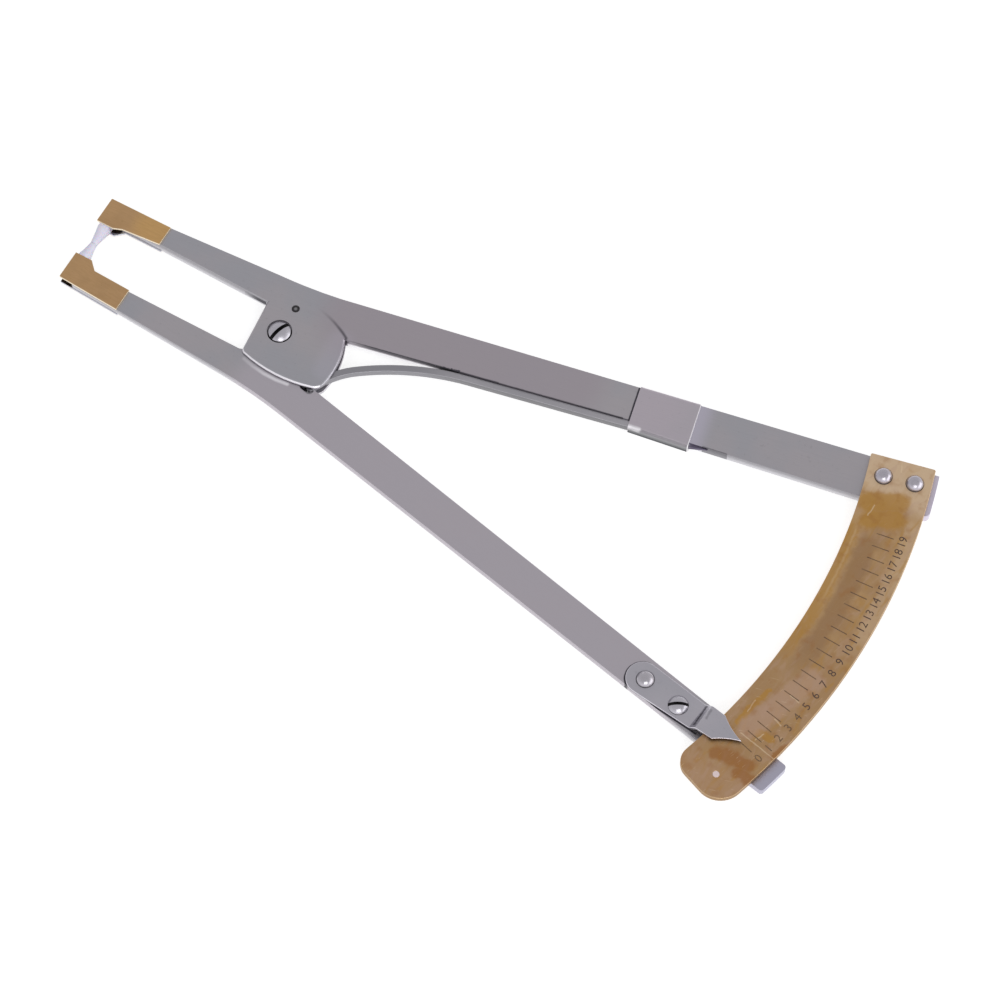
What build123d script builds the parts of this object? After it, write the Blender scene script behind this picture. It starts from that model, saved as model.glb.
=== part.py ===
from build123d import *
import math
import os

# Lens thickness caliper. Two steel levers turn on one pivot: squeezing the grips opens the tips,
# and a leaf spring closes them. A pointer on one lever reads the gap on a brass arc on the other.
# Millimetres. Origin on the pivot axis, on the table. +X runs from the pivot along the middle of
# the grips towards the scale, +Y towards the lever that carries the scale, +Z up.

# Reading: the arc's graduations count millimetres between the tips
degrees_per_mm = 1.25
zero_angle = -15.04
tip_radius = 180 / math.pi / degrees_per_mm

# Edges of the levers in plan, each as (height at the pivot, slope in degrees)
scale_arm_front_outer = (12.05, 3.8)
scale_arm_rear_outer = (11.86, 11.17)
scale_arm_front_inner = (4.9, -0.9)
scale_arm_rear_inner = (4.15, 10.24)
spring_seat = (2.39, 12.26)
pointer_arm_front_inner = (-7.33, 0.0)
pointer_arm_rear_inner = (-5.26, -11.65)
pointer_arm_front_outer = (-14.14, -3.23)
pointer_arm_rear_outer = (-13.9, -11.28)
scale_arm_reach = 141.8
pointer_arm_overhang = 2.6
arm_bend_radius = 110.0
scale_arm_end_round = 1.2
pointer_arm_end_round = 0.8
tail_round = 0.3

# Heights, from the table up
rear_cover_thickness = 0.8
scale_head_thickness = 2.8
scale_grip_thickness = 2.35
pointer_arm_thickness = 1.9
running_gap = 0.05
scale_thickness = 1.4

scale_arm_bottom = rear_cover_thickness
scale_head_top = scale_arm_bottom + scale_head_thickness
scale_grip_top = scale_arm_bottom + scale_grip_thickness
pointer_arm_bottom = scale_arm_bottom + running_gap
pointer_arm_top = pointer_arm_bottom + pointer_arm_thickness
fork_top = pointer_arm_top + running_gap
scale_top = scale_grip_top + scale_thickness

# Pivot: the scale lever's cheek and the rear cover are a fork round the pointer lever's lug
pivot_radius = 1.6
pivot_clearance = 0.04
fixed_clearance = 0.02
lug_radius = 4.3
lug_neck_right = 7.6
lug_neck_round = 1.5
pivot_head_radius = 2.65
pivot_head_sink = 0.35
pivot_dome = 0.95
pivot_slot_width = 0.75
pivot_slot_depth = 0.9
pivot_slot_angle = 72.0
head_recess_clearance = 0.08
cheek_edge_round = 0.65
cover_pin_radius = 0.85
cover_pin_at = (0.2, 6.3)
step_ramp_start = -7.0
step_ramp_end = 7.0

# Outline of the fork's plates in plan
fork_front_top = (-6.3, 8.2)
fork_front_low = (-4.7, -7.9)
fork_heel = (14.2, -7.6)
fork_rear_top = (12.8, 5.6)
fork_lower_bow = 1.45
fork_rear_bow = 1.2
fork_upper_bow = 2.0
fork_front_round = 1.0
fork_heel_round = 2.6

# Leaf spring: fixed along the scale lever's inner edge, bowed down to a notch in the pointer lever
spring_thickness = 1.45
spring_height = 1.8
spring_seat_end_x = 76.0
spring_ramp_end_x = 84.0
spring_tail_outer = (5.21, 9.03)
spring_taper_x = 87.5
spring_tail_x = 91.5
spring_tail_edge = 0.2
spring_bow_radius = 56.5
spring_bow_angle = 24.4
spring_curl_radius = 17.2
spring_curl_angle = 35.2
spring_notch_depth = 0.28
spring_notch_clearance = 0.2
spring_notch_run = 1.6
spring_notch_offset = (-0.45, -0.25)

# Clip: folded sheet round the scale lever and the spring's tail
clip_middle_x = 80.1
clip_length = 13.3
clip_sheet = 0.35
clip_gap = 0.04
clip_fold_radius = 0.8

# Jaws: brass cheeks on both faces of each lever's front end, with a nylon tip between them
jaw_cheek_thickness = 0.5
jaw_front_beyond_tip = 1.8
jaw_length = 14.75
jaw_nose_width = 4.0
jaw_shoulder = 1.9
jaw_corner_round = 0.2
scale_jaw_outer = (10.09, 0.54)
scale_jaw_top_inner = (8.28, 5.5)
scale_jaw_bottom_inner = (5.2, 0.0)
scale_jaw_nose = 3.5
pointer_jaw_outer = (-14.26, -3.15)
pointer_jaw_inner = (-8.3, -2.0)
pointer_jaw_nose = -4.95
scale_bar_setback = 5.2
pointer_bar_setback = 3.1
tip_root_width = 2.4
tip_root_depth = 4.2
tip_face_radius = 0.75
tip_face_y = -1.0
tip_hair_gap = 0.02
tip_axis_height = 2.0
scale_tip_collar_radius = 1.55
pointer_tip_collar_radius = 1.45
tip_collar_height = 0.4
tip_waist = 0.42

# Brass arc, its width, and how far its outer edge stays inside the end of its lever
scale_width = 13.85
scale_setback = 1.0
scale_low_angle = -20.6
scale_high_angle = 16.13
scale_high_skew = 0.35
scale_low_inner_corner = 3.8
scale_low_outer_corner = 5.4
scale_high_corner = 0.4
scale_rivet_angle = 14.4
scale_rivet_inset = 3.6
scale_rivet_head = 1.95
scale_rivet_dome = 1.5
scale_rivet_shank = 1.1
scale_rivet_tail = 1.7
stop_pin_angle = -18.63
stop_pin_inset = 5.85
stop_pin_radius = 0.7
stop_pin_reach = 1.6

# Pointer: joggled sheet blade that turns a little about its rivet to set the zero
pointer_thickness = 0.65
pointer_tip_inset = 7.1
pointer_run = 23.67
pointer_rivet_inset = 3.27
pointer_screw_spacing = 8.69
pointer_heel_offset = 0.6
pointer_heel_radius = 3.55
pointer_upper_shoulder = (18.0, 2.6)
pointer_lower_shoulder = (18.7, 3.15)
pointer_tip_hollow = 0.35
joggle_start = 13.3
joggle_end = 14.9
joggle_round = 0.6
pointer_over_scale = 0.25
pointer_rivet_head = 1.95
pointer_rivet_dome = 1.25
pointer_rivet_shank = 1.0
pointer_rivet_tail = 1.5
pointer_screw_head = 2.15
pointer_screw_dome = 1.1
pointer_screw_shank = 1.0
pointer_slot_clearance = 0.35
pointer_screw_slot_width = 0.6
pointer_screw_slot_depth = 0.6
pointer_screw_slot_angle = 28.0


def slope(edge):
    return math.tan(math.radians(edge[1]))


def on_edge(edge, x):
    """Point of a straight edge at the distance x from the pivot."""
    return (x, edge[0] + x * slope(edge))


def crossing(first, second):
    """Point where two straight edges meet."""
    return on_edge(first, (second[0] - first[0]) / (slope(first) - slope(second)))


def shifted(edge, distance):
    """The same edge moved square to itself, up where the distance is positive."""
    return (edge[0] + distance / math.cos(math.radians(edge[1])), edge[1])


def polar(radius, angle):
    return (radius * math.cos(math.radians(angle)), radius * math.sin(math.radians(angle)))


def upright(at):
    """Plane that stands on the table at a point, with its local Y upwards."""
    return Plane(origin=(at[0], at[1], 0), x_dir=(1, 0, 0), z_dir=(0, -1, 0))


def tail(at, radius, top):
    """Peened rivet tail from the table up to the underside of a lever."""
    with BuildSketch(upright(at)) as section:
        with BuildLine():
            Polyline(
                (0, 0),
                (radius - tail_round, 0),
                (radius, tail_round),
                (radius, top),
                (0, top),
                close=True,
            )
        make_face()
    revolve(section.sketch, axis=Axis((*at, 0), (0, 0, 1)))


def domed(at, shank_radius, bottom, seat, head_radius, dome_height):
    """Shank from bottom to seat with a low round head on the seat."""
    dome_radius = (head_radius ** 2 + dome_height ** 2) / (2 * dome_height)
    with BuildSketch(upright(at)) as section:
        with BuildLine():
            Polyline(
                (head_radius, seat),
                (shank_radius, seat),
                (shank_radius, bottom),
                (0, bottom),
                (0, seat + dome_height),
            )
            RadiusArc((0, seat + dome_height), (head_radius, seat), dome_radius)
        make_face()
    revolve(section.sketch, axis=Axis((*at, 0), (0, 0, 1)))


def slotted(at, angle, width, length, top, depth):
    """Cuts a screwdriver slot down from the top of a head."""
    with BuildSketch(Plane.XY.offset(top - depth)) as section:
        with Locations(at):
            Rectangle(length, width, rotation=angle)
    extrude(section.sketch, amount=2 * depth, mode=Mode.SUBTRACT)


def drilled(at, radius, bottom, top):
    with BuildSketch(Plane.XY.offset(bottom)) as section:
        with Locations(at):
            Circle(radius)
    extrude(section.sketch, amount=top - bottom, mode=Mode.SUBTRACT)


# Radii of what lies on and beside the brass arc
scale_outer_radius = scale_arm_reach - scale_setback
scale_inner_radius = scale_outer_radius - scale_width
scale_rivet_radii = (scale_inner_radius + scale_rivet_inset, scale_outer_radius - scale_rivet_inset)
stop_pin_at = polar(scale_outer_radius - stop_pin_inset, stop_pin_angle)
pointer_arm_reach = scale_outer_radius + pointer_arm_overhang

# The pointer's tip stands on the zero line; its rivet and screw lie along the lever's outer edge
pointer_tip = polar(scale_outer_radius - pointer_tip_inset, zero_angle)
pointer_rivet_at = on_edge(shifted(pointer_arm_rear_outer, pointer_rivet_inset), pointer_tip[0] - pointer_run)
screw_step = polar(pointer_screw_spacing, pointer_arm_rear_outer[1])
pointer_screw_at = (pointer_rivet_at[0] + screw_step[0], pointer_rivet_at[1] + screw_step[1])

# Outline shared by the fork's two plates: a straight front edge, bowed lower, rear and upper edges
with BuildSketch() as fork_plate:
    with BuildLine():
        Line(fork_front_top, fork_front_low)
        SagittaArc(fork_front_low, fork_heel, -fork_lower_bow)
        SagittaArc(fork_heel, fork_rear_top, -fork_rear_bow)
        SagittaArc(fork_rear_top, fork_front_top, -fork_upper_bow)
    make_face()
    for corner, corner_radius in ((fork_front_low, fork_front_round), (fork_heel, fork_heel_round)):
        fillet(fork_plate.vertices().sort_by_distance(corner)[0], corner_radius)

# Path of the leaf spring's middle, from its tail to its tip in the pointer lever's notch
spring_middle = shifted(spring_seat, -spring_thickness / 2)
spring_low = shifted(spring_seat, -spring_thickness)
with BuildLine():
    trial_first = JernArc((0, 0), polar(1, 180 + spring_seat[1]), spring_bow_radius, spring_bow_angle)
    trial_second = JernArc(trial_first @ 1, trial_first % 1, spring_curl_radius, spring_curl_angle)
bow_run = (trial_second @ 1).X
bow_drop = (trial_second @ 1).Y
notch_line = (pointer_arm_rear_inner[0] - spring_notch_depth, pointer_arm_rear_inner[1])
spring_lift_x = (notch_line[0] + bow_run * slope(notch_line) - spring_middle[0] - bow_drop) / (
    slope(spring_middle) - slope(notch_line)
)
spring_lift = on_edge(spring_middle, spring_lift_x)
spring_end = (spring_lift[0] + bow_run, spring_lift[1] + bow_drop)

# Scale lever: bent bar with its fork cheek in one piece, thinner behind the cheek
jaw_front = -(tip_radius + jaw_front_beyond_tip)
jaw_rear = jaw_front + jaw_length
scale_bar_front = jaw_front + scale_bar_setback
scale_outer_bend = crossing(scale_arm_front_outer, scale_arm_rear_outer)
with BuildSketch(Plane.XY.offset(scale_arm_bottom)) as scale_bar:
    with BuildLine():
        Polyline(
            on_edge(scale_arm_front_outer, scale_bar_front),
            scale_outer_bend,
            on_edge(scale_arm_rear_outer, scale_arm_reach),
            on_edge(scale_arm_rear_inner, scale_arm_reach),
            on_edge(scale_arm_rear_inner, spring_ramp_end_x),
            on_edge(spring_seat, spring_seat_end_x),
            crossing(scale_arm_front_inner, spring_seat),
            on_edge(scale_arm_front_inner, scale_bar_front),
            close=True,
        )
    make_face()
    Circle(scale_arm_reach, mode=Mode.INTERSECT)
    fillet(scale_bar.vertices().sort_by_distance(scale_outer_bend)[0], arm_bend_radius)
    scale_arm_corner = on_edge(scale_arm_rear_inner, scale_arm_reach)
    fillet(scale_bar.vertices().sort_by_distance(scale_arm_corner)[0], scale_arm_end_round)

# What is milled off the bar behind the cheek, with a ramp that fades out beside the cover pin
with BuildPart() as step_relief:
    with BuildSketch(Plane.XZ):
        with BuildLine():
            Polyline(
                (step_ramp_start, scale_head_top),
                (step_ramp_end, scale_grip_top),
                (scale_arm_reach, scale_grip_top),
                (scale_arm_reach, scale_head_top),
                close=True,
            )
        make_face()
    extrude(amount=scale_arm_reach, both=True)
    with BuildSketch(Plane.XY.offset(scale_grip_top - running_gap)):
        add(fork_plate.sketch)
    extrude(amount=scale_head_thickness, mode=Mode.SUBTRACT)

with BuildPart() as scale_arm:
    add(scale_bar.sketch)
    extrude(amount=scale_head_thickness)
    with BuildSketch(Plane.XY.offset(fork_top)):
        add(fork_plate.sketch)
    extrude(amount=scale_head_top - fork_top)
    cheek_rim = scale_arm.edges().group_by(Axis.Z)[-1].filter_by(GeomType.CIRCLE)
    fillet(cheek_rim.filter_by(lambda edge: edge.center().Y < fork_rear_top[1]), cheek_edge_round)
    add(step_relief.part, mode=Mode.SUBTRACT)
    drilled((0, 0), pivot_radius + fixed_clearance, fork_top, scale_head_top)
    drilled(
        (0, 0), pivot_head_radius + head_recess_clearance, scale_head_top - pivot_head_sink, scale_head_top
    )
    drilled(cover_pin_at, cover_pin_radius + fixed_clearance, scale_arm_bottom, scale_head_top)
    for radius in scale_rivet_radii:
        drilled(
            polar(radius, scale_rivet_angle),
            scale_rivet_shank + fixed_clearance,
            scale_arm_bottom,
            scale_grip_top,
        )
scale_arm.part.label = "scale_arm"

# Rear cover: the fork's lower plate, held by the cover pin and the pivot screw's thread
with BuildPart() as rear_cover:
    with BuildSketch():
        add(fork_plate.sketch)
    extrude(amount=rear_cover_thickness)
    drilled((0, 0), pivot_radius + fixed_clearance, 0, rear_cover_thickness)
    drilled(cover_pin_at, cover_pin_radius + fixed_clearance, 0, rear_cover_thickness)
rear_cover.part.label = "rear_cover"

with BuildPart() as cover_pin:
    with BuildSketch():
        with Locations(cover_pin_at):
            Circle(cover_pin_radius)
    extrude(amount=scale_head_top)
cover_pin.part.label = "cover_pin"

with BuildPart() as pivot_screw:
    domed(
        (0, 0),
        pivot_radius,
        0,
        scale_head_top - pivot_head_sink,
        pivot_head_radius,
        pivot_head_sink + pivot_dome,
    )
    slotted(
        (0, 0),
        pivot_slot_angle,
        pivot_slot_width,
        2 * pivot_head_radius,
        scale_head_top + pivot_dome,
        pivot_slot_depth,
    )
pivot_screw.part.label = "pivot_screw"

# Pointer lever: bent bar with a round lug on the pivot and a notch for the spring's tip
pointer_bar_front = jaw_front + pointer_bar_setback
pointer_outer_bend = crossing(pointer_arm_front_outer, pointer_arm_rear_outer)
with BuildPart() as pointer_arm:
    with BuildSketch(Plane.XY.offset(pointer_arm_bottom)) as pointer_bar:
        with BuildLine():
            Polyline(
                on_edge(pointer_arm_front_inner, pointer_bar_front),
                on_edge(pointer_arm_front_inner, -lug_radius),
                (-lug_radius, 0),
                (lug_radius, 0),
                on_edge(pointer_arm_front_inner, lug_neck_right),
                crossing(pointer_arm_front_inner, pointer_arm_rear_inner),
                on_edge(pointer_arm_rear_inner, pointer_arm_reach),
                on_edge(pointer_arm_rear_outer, pointer_arm_reach),
                pointer_outer_bend,
                on_edge(pointer_arm_front_outer, pointer_bar_front),
                close=True,
            )
        make_face()
        Circle(pointer_arm_reach, mode=Mode.INTERSECT)
        fillet(pointer_bar.vertices().sort_by_distance(pointer_outer_bend)[0], arm_bend_radius)
        for edge in (pointer_arm_rear_inner, pointer_arm_rear_outer):
            end_corner = on_edge(edge, pointer_arm_reach)
            fillet(pointer_bar.vertices().sort_by_distance(end_corner)[0], pointer_arm_end_round)
        for neck in (-lug_radius, lug_neck_right):
            root = on_edge(pointer_arm_front_inner, neck)
            fillet(pointer_bar.vertices().sort_by_distance(root)[0], lug_neck_round)
        Circle(lug_radius)
        with Locations((spring_end[0] + spring_notch_offset[0], spring_end[1] + spring_notch_offset[1])):
            SlotCenterToCenter(
                spring_notch_run,
                spring_thickness + 2 * spring_notch_clearance,
                rotation=pointer_arm_rear_inner[1],
                mode=Mode.SUBTRACT,
            )
    extrude(amount=pointer_arm_thickness)
    drilled((0, 0), pivot_radius + pivot_clearance, pointer_arm_bottom, pointer_arm_top)
    drilled(pointer_rivet_at, pointer_rivet_shank + fixed_clearance, pointer_arm_bottom, pointer_arm_top)
    drilled(pointer_screw_at, pointer_screw_shank + fixed_clearance, pointer_arm_bottom, pointer_arm_top)
pointer_arm.part.label = "pointer_arm"

# Leaf spring: a strip on edge in the scale lever's seat. Under the clip the seat runs out, and the
# strip's thinned tail lies outside on the lever's edge. Its other end is bowed down to the notch.
spring_bottom = scale_arm_bottom + (fork_top - scale_arm_bottom - spring_height) / 2
lift_lean = spring_thickness / 2 * math.sin(math.radians(spring_seat[1]))
with BuildPart() as leaf_spring:
    with BuildSketch(Plane.XY.offset(spring_bottom)):
        with BuildLine():
            bow = JernArc(spring_lift, polar(1, 180 + spring_seat[1]), spring_bow_radius, spring_bow_angle)
            JernArc(bow @ 1, bow % 1, spring_curl_radius, spring_curl_angle)
        trace(line_width=spring_thickness)
        with Locations(spring_end):
            Circle(spring_thickness / 2)
        with BuildLine():
            Polyline(
                on_edge(spring_seat, spring_lift_x - lift_lean),
                on_edge(spring_seat, spring_seat_end_x),
                on_edge(scale_arm_rear_inner, spring_ramp_end_x),
                on_edge(scale_arm_rear_inner, spring_tail_x),
                on_edge(shifted(scale_arm_rear_inner, -spring_tail_edge), spring_tail_x),
                on_edge(spring_tail_outer, spring_taper_x),
                crossing(spring_tail_outer, spring_low),
                on_edge(spring_low, spring_lift_x + lift_lean),
                close=True,
            )
        make_face()
    extrude(amount=spring_height)
leaf_spring.part.label = "leaf_spring"

# Spring clip: a sleeve of folded sheet that holds the spring's tail against the scale lever
clip_axis = (
    (scale_arm_rear_outer[0] + spring_tail_outer[0]) / 2,
    (scale_arm_rear_outer[1] + spring_tail_outer[1]) / 2,
)
clip_middle = on_edge(clip_axis, clip_middle_x)


def clip_block(margin, length, mode=Mode.ADD):
    """Block round the lever and the spring's tail, larger than both by the margin."""
    upper = shifted(scale_arm_rear_outer, margin)
    lower = shifted(spring_tail_outer, -margin)
    with BuildSketch(Plane.XY.offset(scale_arm_bottom - margin)) as section:
        with BuildLine():
            Polyline(
                on_edge(upper, clip_middle_x - length),
                on_edge(upper, clip_middle_x + length),
                on_edge(lower, clip_middle_x + length),
                on_edge(lower, clip_middle_x - length),
                close=True,
            )
        make_face()
        with Locations(clip_middle):
            Rectangle(length, 3 * length, rotation=spring_seat[1], mode=Mode.INTERSECT)
    extrude(section.sketch, amount=scale_grip_thickness + 2 * margin, mode=mode)


with BuildPart() as spring_clip:
    clip_block(clip_gap + clip_sheet, clip_length)
    clip_folds = spring_clip.edges().filter_by(lambda edge: edge.length > clip_length - clip_sheet)
    fillet(clip_folds, clip_fold_radius)
    clip_block(clip_gap, 2 * clip_length, Mode.SUBTRACT)
spring_clip.part.label = "spring_clip"


# Jaws
def cheek(bottom, outer, inner, nose):
    """Sheet cheek of a jaw: a bar with a nose that points at the other jaw."""
    nose_rear = jaw_front + jaw_nose_width
    front_corner = on_edge(outer, jaw_front)
    with BuildSketch(Plane.XY.offset(bottom)) as section:
        with BuildLine():
            Polyline(
                on_edge(outer, jaw_rear),
                front_corner,
                (jaw_front, nose),
                (nose_rear, nose),
                on_edge(inner, nose_rear + jaw_shoulder),
                on_edge(inner, jaw_rear),
                close=True,
            )
        make_face()
        fillet(section.vertices().sort_by_distance(front_corner)[0], jaw_corner_round)
    extrude(section.sketch, amount=jaw_cheek_thickness)


def nylon_tip(nose, side, root_bottom, root_height, collar_radius):
    """Turned cone on a square root. The side is 1 on the scale lever's jaw and -1 on the pointer's."""
    face = tip_face_y + side * tip_hair_gap / 2
    collar = nose - side * tip_collar_height
    waist = -tip_radius + tip_face_radius + tip_waist * (collar_radius - tip_face_radius)
    with BuildSketch(Plane.XY.offset(tip_axis_height)) as section:
        with BuildLine():
            Polyline(
                (-tip_radius + tip_face_radius, face),
                (-tip_radius, face),
                (-tip_radius, nose),
                (-tip_radius + collar_radius, nose),
                (-tip_radius + collar_radius, collar),
            )
            ThreePointArc(
                (-tip_radius + collar_radius, collar),
                (waist, (collar + face) / 2),
                (-tip_radius + tip_face_radius, face),
            )
        make_face()
    revolve(section.sketch, axis=Axis((-tip_radius, 0, tip_axis_height), (0, 1, 0)))
    with BuildSketch(Plane.XY.offset(root_bottom)) as root:
        with Locations((-tip_radius, nose + side * tip_root_depth / 2)):
            Rectangle(tip_root_width, tip_root_depth)
    extrude(root.sketch, amount=root_height)


with BuildPart() as scale_jaw_top_cheek:
    cheek(scale_head_top, scale_jaw_outer, scale_jaw_top_inner, scale_jaw_nose)
scale_jaw_top_cheek.part.label = "scale_jaw_top_cheek"

with BuildPart() as scale_jaw_bottom_cheek:
    cheek(scale_arm_bottom - jaw_cheek_thickness, scale_jaw_outer, scale_jaw_bottom_inner, scale_jaw_nose)
scale_jaw_bottom_cheek.part.label = "scale_jaw_bottom_cheek"

with BuildPart() as scale_jaw_tip:
    nylon_tip(scale_jaw_nose, 1, scale_arm_bottom, scale_head_thickness, scale_tip_collar_radius)
scale_jaw_tip.part.label = "scale_jaw_tip"

with BuildPart() as pointer_jaw_top_cheek:
    cheek(pointer_arm_top, pointer_jaw_outer, pointer_jaw_inner, pointer_jaw_nose)
pointer_jaw_top_cheek.part.label = "pointer_jaw_top_cheek"

with BuildPart() as pointer_jaw_bottom_cheek:
    cheek(pointer_arm_bottom - jaw_cheek_thickness, pointer_jaw_outer, pointer_jaw_inner, pointer_jaw_nose)
pointer_jaw_bottom_cheek.part.label = "pointer_jaw_bottom_cheek"

with BuildPart() as pointer_jaw_tip:
    nylon_tip(pointer_jaw_nose, -1, pointer_arm_bottom, pointer_arm_thickness, pointer_tip_collar_radius)
pointer_jaw_tip.part.label = "pointer_jaw_tip"

# Brass arc on the scale lever, concentric with the pivot
scale_inner_high_angle = scale_high_angle + scale_high_skew
scale_low_inner = polar(scale_inner_radius, scale_low_angle)
scale_low_outer = polar(scale_outer_radius, scale_low_angle)
scale_high_inner = polar(scale_inner_radius, scale_inner_high_angle)
scale_high_outer = polar(scale_outer_radius, scale_high_angle)
scale_corners = {
    scale_low_inner: scale_low_inner_corner,
    scale_low_outer: scale_low_outer_corner,
    scale_high_inner: scale_high_corner,
    scale_high_outer: scale_high_corner,
}
with BuildPart() as scale_plate:
    with BuildSketch(Plane.XY.offset(scale_grip_top)) as scale_outline:
        with BuildLine():
            CenterArc((0, 0), scale_outer_radius, scale_low_angle, scale_high_angle - scale_low_angle)
            CenterArc((0, 0), scale_inner_radius, scale_low_angle, scale_inner_high_angle - scale_low_angle)
            Line(scale_low_inner, scale_low_outer)
            Line(scale_high_inner, scale_high_outer)
        make_face()
        for corner, corner_radius in scale_corners.items():
            fillet(scale_outline.vertices().sort_by_distance(corner)[0], corner_radius)
    extrude(amount=scale_thickness)
    for radius in scale_rivet_radii:
        drilled(
            polar(radius, scale_rivet_angle), scale_rivet_shank + fixed_clearance, scale_grip_top, scale_top
        )
    drilled(stop_pin_at, stop_pin_radius + fixed_clearance, scale_grip_top, scale_top)
scale_plate.part.label = "scale_plate"

with BuildPart() as scale_rivets:
    for radius in scale_rivet_radii:
        at = polar(radius, scale_rivet_angle)
        domed(at, scale_rivet_shank, scale_arm_bottom, scale_top, scale_rivet_head, scale_rivet_dome)
        tail(at, scale_rivet_tail, scale_arm_bottom)
scale_rivets.part.label = "scale_rivets"

# Stop pin: stands out below the arc, beyond the pointer lever's closed place
with BuildPart() as stop_pin:
    with BuildSketch(Plane.XY.offset(scale_grip_top - stop_pin_reach)):
        with Locations(stop_pin_at):
            Circle(stop_pin_radius)
    extrude(amount=scale_thickness + stop_pin_reach)
stop_pin.part.label = "stop_pin"

# Pointer: flat on its lever, then joggled up over the arc to a hollow-sided point on the zero line
pointer_length = math.dist(pointer_rivet_at, pointer_tip)
pointer_direction = Vector(*pointer_tip) - Vector(*pointer_rivet_at)
pointer_top = pointer_arm_top + pointer_thickness
pointer_rise = scale_top + pointer_over_scale - pointer_arm_top
pointer_plan = Plane(origin=(*pointer_rivet_at, pointer_arm_top), x_dir=pointer_direction, z_dir=(0, 0, 1))
pointer_side = Plane(
    origin=pointer_plan.origin, x_dir=pointer_direction, z_dir=pointer_direction.cross(Vector(0, 0, 1))
)
with BuildPart() as pointer:
    with BuildSketch(pointer_side):
        with BuildLine():
            FilletPolyline(
                (-2 * pointer_heel_radius, pointer_thickness / 2),
                (joggle_start, pointer_thickness / 2),
                (joggle_end, pointer_thickness / 2 + pointer_rise),
                (pointer_length + pointer_thickness, pointer_thickness / 2 + pointer_rise),
                radius=joggle_round,
            )
        trace(line_width=pointer_thickness)
    extrude(amount=2 * pointer_heel_radius, both=True)
    with BuildSketch(pointer_plan):
        with Locations((-pointer_heel_offset, 0)):
            Circle(pointer_heel_radius)
        with BuildLine():
            Polyline(
                pointer_upper_shoulder,
                (-pointer_heel_offset, pointer_heel_radius),
                (-pointer_heel_offset, -pointer_heel_radius),
                (pointer_lower_shoulder[0], -pointer_lower_shoulder[1]),
            )
            for side, (shoulder_at, shoulder_half) in ((1, pointer_upper_shoulder), (-1, pointer_lower_shoulder)):
                ThreePointArc(
                    (shoulder_at, side * shoulder_half),
                    ((shoulder_at + pointer_length) / 2, side * (shoulder_half / 2 - pointer_tip_hollow)),
                    (pointer_length, 0),
                )
        make_face()
    extrude(amount=pointer_rise + 2 * pointer_thickness, mode=Mode.INTERSECT)
    drilled(pointer_rivet_at, pointer_rivet_shank + pivot_clearance, pointer_arm_top, pointer_top)
    drilled(pointer_screw_at, pointer_screw_shank + pointer_slot_clearance, pointer_arm_top, pointer_top)
pointer.part.label = "pointer"

with BuildPart() as pointer_rivet:
    domed(
        pointer_rivet_at,
        pointer_rivet_shank,
        pointer_arm_bottom,
        pointer_top,
        pointer_rivet_head,
        pointer_rivet_dome,
    )
    tail(pointer_rivet_at, pointer_rivet_tail, pointer_arm_bottom)
pointer_rivet.part.label = "pointer_rivet"

with BuildPart() as pointer_screw:
    domed(
        pointer_screw_at,
        pointer_screw_shank,
        pointer_arm_bottom,
        pointer_top,
        pointer_screw_head,
        pointer_screw_dome,
    )
    slotted(
        pointer_screw_at,
        pointer_screw_slot_angle,
        pointer_screw_slot_width,
        2 * pointer_screw_head,
        pointer_top + pointer_screw_dome,
        pointer_screw_slot_depth,
    )
pointer_screw.part.label = "pointer_screw"

os.makedirs("parts", exist_ok=True)
for piece in (
    scale_arm,
    rear_cover,
    cover_pin,
    pivot_screw,
    leaf_spring,
    spring_clip,
    scale_jaw_top_cheek,
    scale_jaw_bottom_cheek,
    scale_jaw_tip,
    scale_plate,
    scale_rivets,
    stop_pin,
    pointer_arm,
    pointer_jaw_top_cheek,
    pointer_jaw_bottom_cheek,
    pointer_jaw_tip,
    pointer,
    pointer_rivet,
    pointer_screw,
):
    export_step(piece.part, f"parts/{piece.part.label}.step")
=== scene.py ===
from math import asin, cos, pi, radians, sin, tan

import bmesh
import bpy
from mathutils import Matrix, Vector


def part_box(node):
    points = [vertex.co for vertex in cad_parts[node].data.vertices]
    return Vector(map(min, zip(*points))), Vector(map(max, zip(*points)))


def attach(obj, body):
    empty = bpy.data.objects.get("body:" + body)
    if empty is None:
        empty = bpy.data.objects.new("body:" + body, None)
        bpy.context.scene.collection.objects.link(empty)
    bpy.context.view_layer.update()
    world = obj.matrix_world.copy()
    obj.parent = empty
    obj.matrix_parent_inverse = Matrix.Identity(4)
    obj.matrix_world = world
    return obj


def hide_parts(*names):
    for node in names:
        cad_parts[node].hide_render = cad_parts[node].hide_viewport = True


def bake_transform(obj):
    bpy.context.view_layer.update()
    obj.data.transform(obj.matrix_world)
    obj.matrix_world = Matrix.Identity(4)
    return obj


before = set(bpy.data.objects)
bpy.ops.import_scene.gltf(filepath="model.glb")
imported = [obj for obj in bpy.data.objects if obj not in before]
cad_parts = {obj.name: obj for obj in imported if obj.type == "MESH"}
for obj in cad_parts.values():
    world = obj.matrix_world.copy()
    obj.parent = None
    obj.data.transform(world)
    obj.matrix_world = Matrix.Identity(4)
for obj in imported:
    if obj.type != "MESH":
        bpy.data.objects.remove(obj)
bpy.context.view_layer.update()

mm = 0.001

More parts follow.
